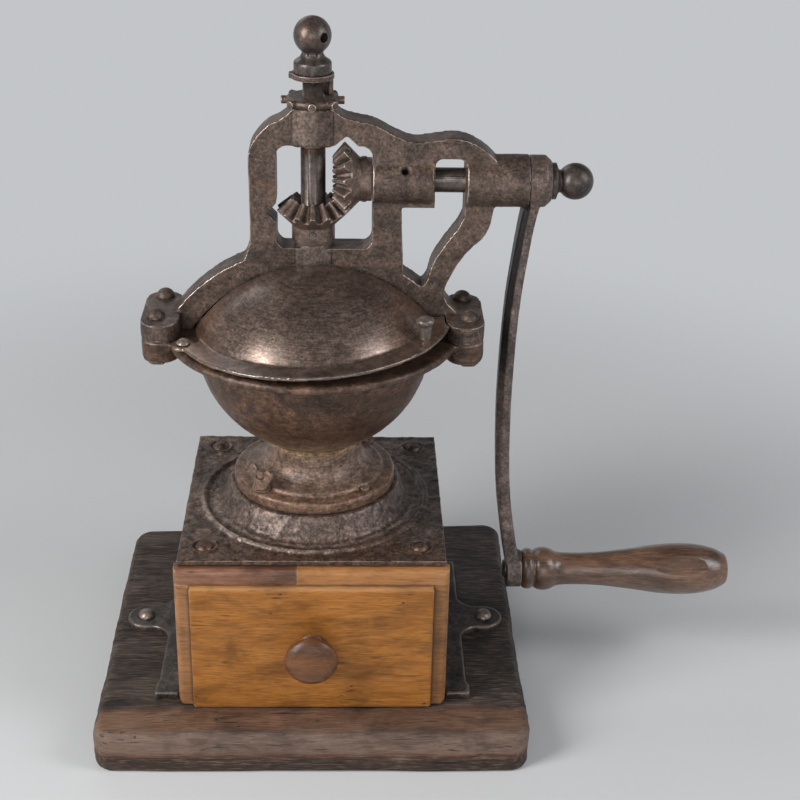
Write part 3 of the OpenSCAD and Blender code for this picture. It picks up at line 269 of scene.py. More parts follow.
# noise of the wood: cells per metre along X, Y and Z, shift, octaves, roughness and warp
grainSet = {
    "drift": {"cells": (9, 22, 22), "detail": 2.0, "reach": 0.012},
    "fibre": {"cells": (72, 760, 760), "look": (5, 0.66)},
    "band": {"cells": (17, 105, 105), "look": (5, 0.62, 0.4)},
    "smudge": {"cells": (26, 44, 44), "shift": (2, 5, 3), "look": (5, 0.62, 0.5)},
    "dash": {"cells": (75, 900, 900), "shift": (4, 9, 2), "look": (2, 0.5)},
    "where": {"cells": (30, 60, 60), "shift": (1, 8, 2), "look": (3,)},
    "thin": {"cells": (19, 440, 440), "shift": (7, 3, 5), "look": (2, 0.5)},
    "hole": {"cells": (80, 110, 110)},
}
# each kind of mark shows where its noise is high and the noise named where is high too
markSet = {"fleck": ((0.60, 0.70), (0.44, 0.60)), "crack": ((0.635, 0.70), (0.50, 0.62)),
           "hole": ((0.06, 0.10), (0.54, 0.60))}
grainHeight = {"fibre": 0.7, "crack": 0.9, "fleck": 0.4}


def makeWoodGrain():
    # fibres, faint bands, short dark flecks, cracks, worm holes and height of wood with its grain along X
    outs = ("Fibre", "Band", "Smudge", "Fleck", "Crack", "Hole", "Height")
    t, i, o = newGroup("woodGrain", [("Point", vectorKind)], [(n, floatKind) for n in outs])

    def strands(name, at):
        s = grainSet[name]
        return cloud(t, stretch(t, at, s["cells"], shift=s.get("shift", (0, 0, 0))), 1, *s["look"])

    drift = addNode(t, "ShaderNodeTexNoise", {"Vector": stretch(t, i["Point"], grainSet["drift"]["cells"]),
                                              "Scale": 1.0, "Detail": grainSet["drift"]["detail"]})
    drift = vectorCalc(t, "SUBTRACT", drift.outputs["Color"], (0.5, 0.5, 0.5))
    point = vectorCalc(t, "ADD", i["Point"], shaded(t, drift, grainSet["drift"]["reach"]))
    fibre, band, dash, thin = (strands(n, point) for n in ("fibre", "band", "dash", "thin"))
    smudge, where = (strands(n, i["Point"]) for n in ("smudge", "where"))
    cell = addNode(t, "ShaderNodeTexVoronoi", {"Vector": stretch(t, i["Point"], grainSet["hole"]["cells"]),
                                               "Scale": 1.0})
    fleck = calc(t, "MULTIPLY", ease(t, dash, *markSet["fleck"][0]), ease(t, where, *markSet["fleck"][1]))
    crack = calc(t, "MULTIPLY", ease(t, thin, *markSet["crack"][0]), ease(t, where, *markSet["crack"][1]))
    hole = ease(t, cell.outputs["Distance"], *markSet["hole"][0], 1.0, 0.0)
    hole = calc(t, "MULTIPLY", hole, ease(t, where, *markSet["hole"][1]))
    high = calc(t, "SUBTRACT", calc(t, "MULTIPLY", fibre, grainHeight["fibre"]),
                calc(t, "MULTIPLY", crack, grainHeight["crack"]))
    high = calc(t, "SUBTRACT", high, calc(t, "MULTIPLY_ADD", fleck, grainHeight["fleck"], hole))
    for n, v in zip(outs, (fibre, band, smudge, fleck, crack, hole, high)):
        t.links.new(v, o[n])
    return t


castSkin, edgeWearAndHighlight, woodGrain = makeCastSkin(), makeEdgeWearAndHighlight(), makeWoodGrain()


def newMaterial(name):
    m = bpy.data.materials.new(name)
    m.use_nodes = True
    t = m.node_tree
    shader = t.nodes["Principled BSDF"]
    point = t.nodes.new("ShaderNodeTexCoord").outputs["Object"]
    edgeRidge = addNode(t, "ShaderNodeAttribute", attribute_name="edgeRidge").outputs["Fac"]
    hollow = addNode(t, "ShaderNodeAttribute", attribute_name="hollow").outputs["Fac"]
    return m, t, shader, point, edgeRidge, hollow


def setNormal(t, shader, height, depth):
    bump = addNode(t, "ShaderNodeBump", {"Height": height, "Distance": depth, "Strength": 1.0})
    t.links.new(bump.outputs[0], shader.inputs["Normal"])


# finishes of iron and steel
bossSet = {  # upright bosses: half width, swell, heights of their seams, rise and end of the swell
    "top": {"reach": 0.0132, "proud": 0.0024, "seam": (0.4095, 0.4335), "rise": (0.4085, 0.4100),
            "end": (0.49, 0.50)},
    "low": {"reach": 0.0120, "proud": 0.0010, "seam": (0.3255, 0.3530), "rise": (0.3250, 0.3290),
            "end": (0.3500, 0.3520)},
}
seamSet = {"half": 0.0005, "out": 0.0001, "depth": 0.0005, "width": 0.0009}


# painted shade: a dark line along each side of a boss, where it meets the bridge's face
def seamShadeZone(side, b):
    x = side * (b["reach"] + seamSet["out"])
    return {"where": (("x", x - seamSet["half"], x + seamSet["half"], 0.0003), ("z", *b["seam"], 0.0005)),
            "colour": (0.020, 0.013, 0.010), "share": 0.75}


bossSeamShade = tuple(seamShadeZone(side, b) for side in (-1, 1) for b in bossSet.values())
bridgeZones = bossSeamShade + (
    # painted light: the lower boss a little lighter than the face around it
    {"where": (("x", -0.0116, 0.0116, 0.0006), ("z", *bossSet["low"]["seam"], 0.0008)),
     "colour": (0.150, 0.118, 0.104), "share": 0.28},
    # painted light: the left half of the upper boss lighter, its rounded face lit from the left
    {"where": (("x", -0.0110, 0.0020, 0.0040), ("z", 0.4100, 0.4330, 0.0030)),
     "colour": (0.165, 0.126, 0.108), "share": 0.38},
)
lidZones = (
    {"where": (("x", -0.12, -0.062, 0.012), ("z", 0.284, 0.305, 0.006)),
     "colour": (0.230, 0.115, 0.057), "share": 0.55},
    {"where": (("x", 0.052, 0.12, 0.012), ("z", 0.292, 0.330, 0.006)),
     "colour": (0.210, 0.108, 0.060), "share": 0.45},
)
neckZones = (
    {"where": (("z", 0.150, 0.222, 0.006),), "colour": (0.215, 0.152, 0.118), "share": 0.54},
    {"where": (("z", 0.160, 0.1745, 0.002), ("y", -0.2, 0.0, 0.02)),
     "colour": (0.150, 0.074, 0.040), "share": 0.5},
    {"where": (("z", 0.1955, 0.213, 0.006), ("y", -0.2, -0.005, 0.01)),
     "colour": (0.37, 0.235, 0.120), "share": 0.55},
    {"where": (("z", 0.216, 0.252, 0.010),), "colour": (0.085, 0.042, 0.022), "share": 0.55},
)
plateZones = (
    {"where": (("y", -0.2, -0.066, 0.008),), "colour": (0.072, 0.038, 0.023), "share": 0.60},
    {"where": (("r", 0.052, 0.0715, 0.001), ("z", 0.1490, 0.1650, 0.001)),
     "colour": (0.112, 0.082, 0.070), "share": 0.55},
    # painted highlight: a bright line of glints along the front foot of the boss
    {"where": (("r", 0.0692, 0.0722, 0.0012), ("y", -0.2, -0.015, 0.02)),
     "colour": (0.30, 0.245, 0.215), "share": 0.50},
    # painted shadow: the back right of the plate darker, in the hopper's shadow
    {"where": (("x", 0.055, 0.2, 0.02), ("y", -0.055, 0.2, 0.02)),
     "colour": (0.022, 0.019, 0.019), "share": 0.6},
    # the bead's worn crest, with painted highlight: brighter only on the front left, toward the light
    {"where": (("r", 0.0772, 0.0812, 0.0012), ("y", -0.2, -0.02, 0.03), ("x", -0.2, 0.02, 0.03)),
     "colour": (0.36, 0.29, 0.25), "share": 0.6},
)
boreRust = (
    {"where": (("z", 0.4050, 0.4105, 0.001), ("x", -0.02, 0.02, 0.001)),
     "colour": (0.26, 0.105, 0.040), "share": 0.35},
    {"where": (("x", 0.0360, 0.0388, 0.0008), ("z", 0.36, 0.41, 0.001)),
     "colour": (0.30, 0.130, 0.050), "share": 0.6},
)
hubZones = ({"where": (("z", 0.362, 0.5, 0.002),), "colour": (0.112, 0.078, 0.062), "share": 0.7},)
ironSet = {
    "bridgeIron": {
        "dark": (0.041, 0.027, 0.021), "mid": (0.108, 0.073, 0.056), "rust": (0.140, 0.076, 0.045),
        "bareAndHighlight": (0.42, 0.345, 0.30), "rustFrom": 0.56, "metal": 0.40, "rough": 0.47, "bump": 0.00035,
        "wearAndHighlight": 0.95, "grit": 0.60, "mottle": 0.26, "speck": 0.18, "streak": 0.12,
        "zones": bridgeZones,
    },
    "bowlIron": {
        "dark": (0.039, 0.021, 0.013), "mid": (0.094, 0.053, 0.034), "rust": (0.15, 0.070, 0.033),
        "bareAndHighlight": (0.30, 0.225, 0.175), "rustFrom": 0.51, "metal": 0.36, "rough": 0.46, "bump": 0.00026,
        "wearAndHighlight": 0.36, "grit": 0.42, "mottle": 0.40, "speck": 0.14, "streak": 0.34, "zones": neckZones,
    },
    "lidIron": {
        "dark": (0.094, 0.062, 0.049), "mid": (0.173, 0.123, 0.099), "rust": (0.205, 0.116, 0.070),
        "bareAndHighlight": (0.34, 0.295, 0.270), "rustFrom": 0.57, "metal": 0.66, "rough": 0.33, "bump": 0.00012,
        "coat": 0.44, "wearAndHighlight": 0.22, "grit": 0.45, "mottle": 0.24, "speck": 0.16, "streak": 0.34,
        "zones": lidZones,
    },
    "ballIron": {
        "dark": (0.030, 0.023, 0.020), "mid": (0.082, 0.064, 0.055), "rust": (0.120, 0.066, 0.045),
        "bareAndHighlight": (0.26, 0.22, 0.20), "rustFrom": 0.56, "metal": 0.45, "rough": 0.37, "bump": 0.00014,
        "coat": 0.10, "wearAndHighlight": 0.25, "grit": 0.40, "mottle": 0.30, "speck": 0.14, "streak": 0.0,
    },
    "plateIron": {
        "dark": (0.035, 0.023, 0.017), "mid": (0.154, 0.099, 0.074), "rust": (0.16, 0.080, 0.045),
        "bareAndHighlight": (0.33, 0.265, 0.225), "rustFrom": 0.58, "metal": 0.45, "rough": 0.42, "bump": 0.00060,
        "wearAndHighlight": 0.60, "grit": 0.60, "mottle": 0.55, "speck": 0.28, "streak": 0.0, "zones": plateZones,
    },
    "caseIron": {
        "dark": (0.020, 0.016, 0.014), "mid": (0.062, 0.047, 0.040), "rust": (0.11, 0.060, 0.035),
        "bareAndHighlight": (0.32, 0.275, 0.24), "rustFrom": 0.60, "metal": 0.45, "rough": 0.42, "bump": 0.00045,
        "wearAndHighlight": 0.25, "grit": 0.50, "mottle": 0.45, "speck": 0.16, "streak": 0.0,
    },
    "armIron": {
        "dark": (0.048, 0.036, 0.032), "mid": (0.139, 0.104, 0.091), "rust": (0.130, 0.078, 0.055),
        "bareAndHighlight": (0.34, 0.30, 0.28), "rustFrom": 0.62, "metal": 0.42, "rough": 0.46, "bump": 0.00035,
        "wearAndHighlight": 0.60, "grit": 0.55, "mottle": 0.40, "speck": 0.22, "streak": 0.0,
        # near-black colour of the painted shade on the arm's left side
        "paintedShade": (0.006, 0.005, 0.006), "zones": hubZones,
    },
    "gearIron": {
        "dark": (0.046, 0.031, 0.024), "mid": (0.165, 0.114, 0.091), "rust": (0.15, 0.080, 0.050),
        "bareAndHighlight": (0.38, 0.325, 0.285), "rustFrom": 0.62, "metal": 0.48, "rough": 0.44, "bump": 0.00015,
        "wearAndHighlight": 0.80, "grit": 0.42, "mottle": 0.32, "speck": 0.14, "streak": 0.0,
    },
    "screwIron": {
        "dark": (0.085, 0.066, 0.057), "mid": (0.240, 0.192, 0.166), "rust": (0.19, 0.105, 0.06),
        "bareAndHighlight": (0.40, 0.35, 0.31), "rustFrom": 0.58, "metal": 0.50, "rough": 0.38, "bump": 0.00015,
        "wearAndHighlight": 0.70, "grit": 0.30, "mottle": 0.25, "speck": 0.14, "streak": 0.0,
    },
    "wornSteel": {
        "dark": (0.055, 0.043, 0.037), "mid": (0.145, 0.118, 0.105), "rust": (0.14, 0.075, 0.042),
        "bareAndHighlight": (0.42, 0.375, 0.34), "rustFrom": 0.58, "metal": 0.75, "rough": 0.36, "bump": 0.00012,
        "wearAndHighlight": 0.80, "grit": 0.25, "mottle": 0.25, "speck": 0.10, "streak": 0.0, "zones": boreRust,
    },
}


# where each noise of the skin turns from low to high, and how far it changes the roughness
ironLook = {"blotch": (0.30, 0.68), "rustOver": 0.16, "rustMost": 0.75, "grit": (0.28, 0.72),
            "mottle": (0.30, 0.70), "streak": (0.30, 0.70), "speck": (0.56, 0.76), "pit": 0.55,
            "hollowDark": (0.0, 0.8, 0.0, 0.8), "hollowTone": 0.5, "coatRough": 0.29, "wearAndHighlightMetal": 0.3}
ironRough = {"blotch": -0.22, "grit": 0.20, "hollowDark": 0.22, "wearAndHighlight": -0.10}


def grade(t, colour, noise, bounds, most):
    # darker where the noise is low, lighter where it is high
    return shaded(t, colour, ease(t, noise, *bounds, 1 - most, 1 + most))


def ironMaterial(name, s):
    m, t, shader, point, edgeRidge, hollow = newMaterial(name)
    look = ironLook
    skin = place(t, castSkin, {"Point": point})
    wearAndHighlight = place(t, edgeWearAndHighlight, {"EdgeRidge": edgeRidge, "Point": point, "Amount": s["wearAndHighlight"]})["Mask"]
    colour = tint(t, ease(t, skin["Blotch"], *look["blotch"]), s["dark"], s["mid"])
    rusted = ease(t, skin["Rust"], s["rustFrom"], s["rustFrom"] + look["rustOver"], 0.0, look["rustMost"])
    colour = tint(t, rusted, colour, s["rust"])
    colour = zoned(t, colour, point, s.get("zones", ()))
    colour = grade(t, colour, skin["Grit"], look["grit"], s["grit"])
    colour = grade(t, colour, skin["Mottle"], look["mottle"], s["mottle"])
    if s["streak"]:
        colour = grade(t, colour, skin["Streak"], look["streak"], s["streak"])
    colour = tint(t, ease(t, skin["Speck"], *look["speck"], 0.0, s["speck"]), colour, s["bareAndHighlight"])
    colour = tint(t, calc(t, "MULTIPLY", skin["Pit"], look["pit"]), colour, s["dark"])
    # darker and rougher in concave hollows
    hollowDark = ease(t, hollow, *look["hollowDark"])
    colour = tint(t, hollowDark, colour, tuple(look["hollowTone"] * x for x in s["dark"]))
    # bare metal on worn edges, also a painted highlight along rounded edges
    colour = tint(t, wearAndHighlight, colour, s["bareAndHighlight"])
    # painted shade: near black where the shade attribute laid on by castCopy is high
    if "paintedShade" in s:
        black = addNode(t, "ShaderNodeAttribute", attribute_name="paintedShade").outputs["Fac"]
        colour = tint(t, black, colour, s["paintedShade"])
    t.links.new(colour, shader.inputs["Base Color"])
    rough = calc(t, "MULTIPLY_ADD", skin["Blotch"], ironRough["blotch"],
                 s["rough"] - 0.5 * (ironRough["blotch"] + ironRough["grit"]))
    rough = calc(t, "MULTIPLY_ADD", skin["Grit"], ironRough["grit"], rough)
    rough = calc(t, "MULTIPLY_ADD", hollowDark, ironRough["hollowDark"], rough)
    rough = calc(t, "MULTIPLY_ADD", wearAndHighlight, ironRough["wearAndHighlight"], rough, clamp=True)
    t.links.new(rough, shader.inputs["Roughness"])
    metal = calc(t, "MULTIPLY_ADD", wearAndHighlight, look["wearAndHighlightMetal"], s["metal"], clamp=True)
    t.links.new(metal, shader.inputs["Metallic"])
    shader.inputs["Coat Weight"].default_value = s.get("coat", 0.0)
    shader.inputs["Coat Roughness"].default_value = look["coatRough"]
    setNormal(t, shader, skin["Height"], s["bump"])
    return m


# finishes of wood
boardZones = (
    {"where": (("y", -0.121, -0.098, 0.006), ("z", 0.0300, 0.05, 0.001)),
     "colour": (0.165, 0.079, 0.041), "share": 0.75},
    {"where": (("y", -0.3, -0.108, 0.004), ("z", 0.0150, 0.0315, 0.003)),
     "colour": (0.178, 0.114, 0.086), "share": 0.72},
    {"where": (("y", -0.3, -0.118, 0.003), ("z", -0.1, 0.0150, 0.003)),
     "colour": (0.030, 0.015, 0.010), "share": 0.86},
    {"where": (("y", -0.3, -0.118, 0.003), ("z", 0.0132, 0.0162, 0.0022)),
     "colour": (0.120, 0.044, 0.019), "share": 0.7},
    # painted shadow: the board right of and behind the case darker, in the mill's shadow
    {"where": (("x", 0.085, 0.3, 0.02), ("y", -0.085, 0.3, 0.02)),
     "colour": (0.016, 0.013, 0.013), "share": 0.7},
)
fieldSide, fieldTop = 0.0822, 0.1325  # edges of the drawer's raised field
drawerZones = (
    # the side borders' own greyer tone, with painted shade: the right border darker than the left
    {"where": (("x", -0.2, -fieldSide, 0.001),), "colour": (0.255, 0.134, 0.070), "share": 0.7},
    {"where": (("x", fieldSide, 0.2, 0.001),), "colour": (0.185, 0.092, 0.045), "share": 0.7},
    {"where": (("z", fieldTop, 0.2, 0.0008),), "colour": (0.33, 0.158, 0.068), "share": 0.6},
    # painted highlight: a light line along the field's top edge, where it faces up to the light
    {"where": (("z", 0.1302, 0.1320, 0.0005), ("x", -0.081, 0.081, 0.001)),
     "colour": (0.40, 0.235, 0.115), "share": 0.45},
    {"where": (("z", 0.1321, 0.1332, 0.0004), ("x", -0.083, 0.083, 0.001)),
     "colour": (0.050, 0.020, 0.008), "share": 0.75},
) + tuple(
    {"where": (("x", side * fieldSide - 0.0005, side * fieldSide + 0.0005, 0.0004),
               ("z", 0.0, 0.1328, 0.0005)),
     "colour": (0.050, 0.020, 0.008), "share": 0.7} for side in (-1, 1))
woodSet = {
    "boardWood": {
        "dark": (0.022, 0.015, 0.012), "mid": (0.066, 0.047, 0.038), "pale": (0.175, 0.125, 0.096),
        "bareAndHighlight": (0.20, 0.135, 0.10), "crack": (0.007, 0.005, 0.004), "rough": 0.60, "coat": 0.0,
        "gloss": 0.35, "bump": 0.0009, "wearAndHighlight": 0.45, "hollowDark": 0.6, "fibre": (0.46, 0.72, 0.70),
        "fleck": 0.8, "smudge": 0.45, "zones": boardZones,
    },
    "honeyWood": {
        "dark": (0.235, 0.086, 0.013), "mid": (0.300, 0.116, 0.021), "pale": (0.390, 0.178, 0.050),
        "bareAndHighlight": (0.40, 0.215, 0.095), "crack": (0.050, 0.020, 0.007), "rough": 0.50, "coat": 0.06,
        "gloss": 0.30, "bump": 0.00030, "wearAndHighlight": 0.45, "hollowDark": 0.75, "fibre": (0.46, 0.74, 0.60),
        "fleck": 0.55, "smudge": 0.34, "zones": drawerZones,
    },
    "patchWood": {
        "dark": (0.105, 0.044, 0.024), "mid": (0.190, 0.086, 0.050), "pale": (0.29, 0.155, 0.095),
        "bareAndHighlight": (0.36, 0.225, 0.145), "crack": (0.03, 0.014, 0.007), "rough": 0.44, "coat": 0.12,
        "gloss": 0.40, "bump": 0.00025, "wearAndHighlight": 0.6, "hollowDark": 0.75, "fibre": (0.48, 0.74, 0.60),
        "fleck": 0.45, "smudge": 0.4,
    },
    "knobWood": {
        "dark": (0.080, 0.033, 0.014), "mid": (0.142, 0.056, 0.021), "pale": (0.22, 0.102, 0.050),
        "bareAndHighlight": (0.30, 0.18, 0.12), "crack": (0.02, 0.010, 0.005), "rough": 0.38, "coat": 0.12,
        "gloss": 0.32, "bump": 0.00020, "wearAndHighlight": 0.5, "hollowDark": 0.8, "fibre": (0.50, 0.76, 0.55),
        "fleck": 0.5, "smudge": 0.35,
    },
    "gripWood": {
        "dark": (0.042, 0.020, 0.011), "mid": (0.132, 0.067, 0.038), "pale": (0.27, 0.165, 0.115),
        "bareAndHighlight": (0.32, 0.215, 0.155), "crack": (0.02, 0.010, 0.005), "rough": 0.30, "coat": 0.50,
        "gloss": 0.50, "bump": 0.00022, "wearAndHighlight": 0.6, "hollowDark": 0.8, "fibre": (0.48, 0.74, 0.55),
        "fleck": 0.5, "smudge": 0.45,
    },
}


woodLook = {"band": (0.34, 0.64), "shade": (0.28, 0.52, 0.70, 1.0), "smudge": (0.30, 0.60), "smudgeUp": 0.3,
            "dent": 0.85, "hollowFrom": (0.0, 0.8), "fibreRough": -0.25, "roughShift": 0.14, "hollowRough": 0.2,
            "coatRough": 0.25}


def woodMaterial(name, s):
    m, t, shader, point, edgeRidge, hollow = newMaterial(name)
    look = woodLook
    grain = place(t, woodGrain, {"Point": point})
    wearAndHighlight = place(t, edgeWearAndHighlight, {"EdgeRidge": edgeRidge, "Point": point, "Amount": s["wearAndHighlight"]})["Mask"]
    low, high, most = s["fibre"]
    colour = tint(t, ease(t, grain["Band"], *look["band"]), s["dark"], s["mid"])
    colour = zoned(t, colour, point, s.get("zones", ()))
    colour = tint(t, ease(t, grain["Fibre"], low, high, 0.0, most), colour, s["pale"])
    colour = shaded(t, colour, ease(t, grain["Fibre"], *look["shade"]))
    smudged = ease(t, grain["Smudge"], *look["smudge"], 1 - s["smudge"], 1 + look["smudgeUp"] * s["smudge"])
    colour = shaded(t, colour, smudged)
    colour = tint(t, calc(t, "MULTIPLY", grain["Fleck"], s["fleck"]), colour, s["crack"])
    # bare wood on worn edges, also a painted highlight along rounded edges
    colour = tint(t, wearAndHighlight, colour, s["bareAndHighlight"])
    dents = calc(t, "MAXIMUM", grain["Crack"], grain["Hole"])
    colour = tint(t, calc(t, "MULTIPLY", dents, look["dent"]), colour, s["crack"])
    # darker and rougher in concave hollows
    hollowDark = ease(t, hollow, *look["hollowFrom"], 0.0, s["hollowDark"])
    colour = tint(t, hollowDark, colour, s["crack"])
    t.links.new(colour, shader.inputs["Base Color"])
    rough = calc(t, "MULTIPLY_ADD", grain["Fibre"], look["fibreRough"], s["rough"] + look["roughShift"])
    rough = calc(t, "MULTIPLY_ADD", hollowDark, look["hollowRough"], rough, clamp=True)
    t.links.new(rough, shader.inputs["Roughness"])
    shader.inputs["Specular IOR Level"].default_value = s["gloss"]
    shader.inputs["Coat Weight"].default_value = s["coat"]
    shader.inputs["Coat Roughness"].default_value = look["coatRough"]
    setNormal(t, shader, grain["Height"], s["bump"])
    return m


finishes = {n: ironMaterial(n, s) for n, s in ironSet.items()}
finishes.update({n: woodMaterial(n, s) for n, s in woodSet.items()})
print("finishes:", len(finishes))


# smooth value noise: hashed corners of a lattice, blended by 3t^2 - 2t^3
def latticeNoise(points, cell, seed):
    q = points / np.asarray(cell) + 1000.0
    base = np.floor(q).astype(np.int64)
    t = q - base
    t = t * t * (3 - 2 * t)
    total = np.zeros(len(points))
    for corner in range(8):
        shift = np.array([corner & 1, corner >> 1 & 1, corner >> 2])
        k = base + shift
        h = (k[:, 0] * 73856093 ^ k[:, 1] * 19349663 ^ k[:, 2] * 83492791 ^ seed * 2654435) & 0xFFFFFFFF
        h = (h ^ h >> 15) * 739982445 & 0xFFFFFFFF
        h = (h ^ h >> 12) * 695872825 & 0xFFFFFFFF
        weight = np.prod(np.where(shift, t, 1 - t), axis=1)
        total += weight * ((h ^ h >> 15) / 0x7FFFFFFF - 1.0)
    return total


def noiseSum(points, cell, seed, octaves=3):
    # octaves at half the cell and half the height each
    cell = np.asarray(cell, float)
    return sum(latticeNoise(points, cell / 2 ** k, seed + k) / 2 ** k for k in range(octaves))


def linkPiece(name, mesh, finish, node):
    mesh.materials.clear()
    mesh.materials.append(finishes[finish])
    piece = bpy.data.objects.new(name, mesh)
    scene.collection.objects.link(piece)
    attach(piece, bodyOf[node])
    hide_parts(node)
    return piece


mergeDistance, sharpAngle = 3e-6, 30  # metres, degrees


def mergedMesh(node):
    bm = bmesh.new()
    bm.from_mesh(nodes[node].data)
    bmesh.ops.remove_doubles(bm, verts=bm.verts, dist=mergeDistance)
    mesh = bpy.data.meshes.new(node + "Skin")
    bm.to_mesh(mesh)
    bm.free()
    return mesh


def smoothCopy(node, finish):
    # merged copy of a turned or machined solid, shaded smooth between its sharp edges
    mesh = mergedMesh(node)
    mesh.polygons.foreach_set("use_smooth", np.ones(len(mesh.polygons), bool))
    mesh.set_sharp_from_angle(angle=math.radians(sharpAngle))
    return linkPiece(node + "Smooth", mesh, finish, node)


def neighbourMean(points, pairs, count):
    total = [np.bincount(pairs[:, 0], points[pairs[:, 1], k], len(points))
             + np.bincount(pairs[:, 1], points[pairs[:, 0], k], len(points)) for k in range(3)]
    return np.stack(total, axis=1) / count[:, None]


# rounding: one step in, a slightly longer step out; the edge ridge and hollow marks are heights over the
# averaged skin, in voxels, given as where they start and how far they reach
roundSet = {"in": 0.5, "out": 0.52, "near": 2, "far": 10, "edgeRidge": (0.06, 0.22), "hollow": (0.12, 0.9)}


def castCopy(node, finish, voxel, rounds=4, relief=None, paintedShade=None):
    # even skin over a solid, its edges rounded by repeated averaging, then moved along its normals by
    # relief; ridges are kept as an attribute for edge wear and painted highlight, corners as the attribute
    # hollow
    holder = bpy.data.objects.new("holder", mergedMesh(node))
    scene.collection.objects.link(holder)
    skin = holder.modifiers.new("skin", "REMESH")
    skin.mode, skin.voxel_size = "VOXEL", voxel
    mesh = bpy.data.meshes.new_from_object(holder.evaluated_get(bpy.context.evaluated_depsgraph_get()))
    bpy.data.objects.remove(holder)
    n = len(mesh.vertices)
    points, normals = np.empty(3 * n), np.empty(3 * n)
    pairs = np.empty(2 * len(mesh.edges), np.int32)
    mesh.vertices.foreach_get("co", points)
    mesh.edges.foreach_get("vertices", pairs)
    points, pairs = points.reshape(-1, 3), pairs.reshape(-1, 2)
    count = np.bincount(pairs.ravel(), minlength=n)
    for _ in range(rounds):  # in and out again, so that nothing shrinks
        points = points + roundSet["in"] * (neighbourMean(points, pairs, count) - points)
        points = points - roundSet["out"] * (neighbourMean(points, pairs, count) - points)
    mesh.vertices.foreach_set("co", points.ravel())
    mesh.update()
    mesh.vertex_normals.foreach_get("vector", normals)
    normals = normals.reshape(-1, 3)
    near, far = points, points
    for k in range(1, roundSet["far"] + 1):
        far = neighbourMean(far, pairs, count)
        near = far if k == roundSet["near"] else near
    ridge = np.einsum("ij,ij->i", normals, points - near) / voxel
    bulge = np.einsum("ij,ij->i", normals, points - far) / voxel
    marks = {"edgeRidge": (ridge - roundSet["edgeRidge"][0]) / roundSet["edgeRidge"][1],
             "hollow": (-bulge - roundSet["hollow"][0]) / roundSet["hollow"][1]}
    # painted shade, where given, is kept as an attribute too
    if paintedShade is not None:
        marks["paintedShade"] = paintedShade(points, normals)
    for name, value in marks.items():
        mesh.attributes.new(name, "FLOAT", "POINT").data.foreach_set("value", np.clip(value, 0, 1))
    if relief is not None:
        points = points + normals * relief(points, normals)[:, None]
        mesh.vertices.foreach_set("co", points.ravel())
    mesh.polygons.foreach_set("use_smooth", np.ones(len(mesh.polygons), bool))
    mesh.update()
    mesh.name = node + "Skin"
    return linkPiece(node + "Skin", mesh, finish, node)


def step(x, low, high):
    t = np.clip((x - low) / (high - low), 0, 1)
    return t * t * (3 - 2 * t)


castRough = {"depth": 0.00014, "cell": 0.006, "seed": 3}


def castRelief(p, n):
    return castRough["depth"] * noiseSum(p, [castRough["cell"]] * 3, castRough["seed"])


def bossSwell(p, s):
    # half ellipse across, between its rise and its end, less a shallow seam on each side
    across = np.abs(p[:, 0])
    along = step(p[:, 2], *s["rise"]) * (1 - step(p[:, 2], *s["end"]))
    swell = s["proud"] * np.sqrt(np.clip(1 - (across / s["reach"]) ** 2, 0, 1))
    seam = seamSet["depth"] * np.exp(-((across - s["reach"]) / seamSet["width"]) ** 2)
    return along * (swell - seam)


bossFacing = (0.55, 0.9)  # bosses rise where the skin faces front or back


def bridgeRelief(p, n):
    # the two upright bosses swell out of the bridge's front and back
    facing = step(np.abs(n[:, 1]), *bossFacing)
    return castRelief(p, n) + facing * sum(bossSwell(p, b) for b in bossSet.values())


plateRough = {"depth": 0.00042, "cell": 0.0055, "seed": 11, "wave": 0.02, "waveSeed": 5,
              "above": (0.1455, 0.1475), "upward": (0.25, 0.7)}
flankRough = {"depth": 0.00042, "cell": 0.0050, "seed": 21, "above": (0.1485, 0.1500),
              "inner": (0.052, 0.055), "outer": (0.0715, 0.0745)}


def plateRelief(p, n):
    # rough between bead and boss and over the corners, lumpy on the flank of the boss
    s, b = plateRough, flankRough
    r = np.hypot(p[:, 0], p[:, 1])
    top = step(p[:, 2], *s["above"]) * step(n[:, 2], *s["upward"])
    flank = step(r, *b["inner"]) * (1 - step(r, *b["outer"])) * step(p[:, 2], *b["above"])
    rough = s["depth"] * noiseSum(p, [s["cell"]] * 3, s["seed"])
    rough = rough + castRough["depth"] * noiseSum(p, [s["wave"]] * 3, s["waveSeed"])
    return top * rough + flank * b["depth"] * noiseSum(p, [b["cell"]] * 3, b["seed"])


boardWear = {"grain": 0.00030, "grainCell": (0.05, 0.0040, 0.0040), "grainSeed": 31,
             "above": (0.002, 0.006), "sag": 0.0007, "sagCell": (0.05, 0.05, 0.03), "sagSeed": 41,
             "edge": (0.8, 0.98)}


def boardRelief(p, n):
    # long troughs along the grain, and an uneven worn edge
    s = boardWear
    grain = s["grain"] * noiseSum(p, s["grainCell"], s["grainSeed"])
    edge = 1 - step(np.abs(n[:, 2]), *s["edge"])
    sag = s["sag"] * noiseSum(p, s["sagCell"], s["sagSeed"], 2)
    return grain * step(p[:, 2], *s["above"]) + edge * sag


gripFacet = {"depth": 0.0015, "facing": (0.0, -0.80, 0.60), "start": (0.50, 0.66), "end": (0.87, 0.97),
             "cut": (0.50, 0.60), "wave": 0.0004, "cell": 0.014, "seed": 51}


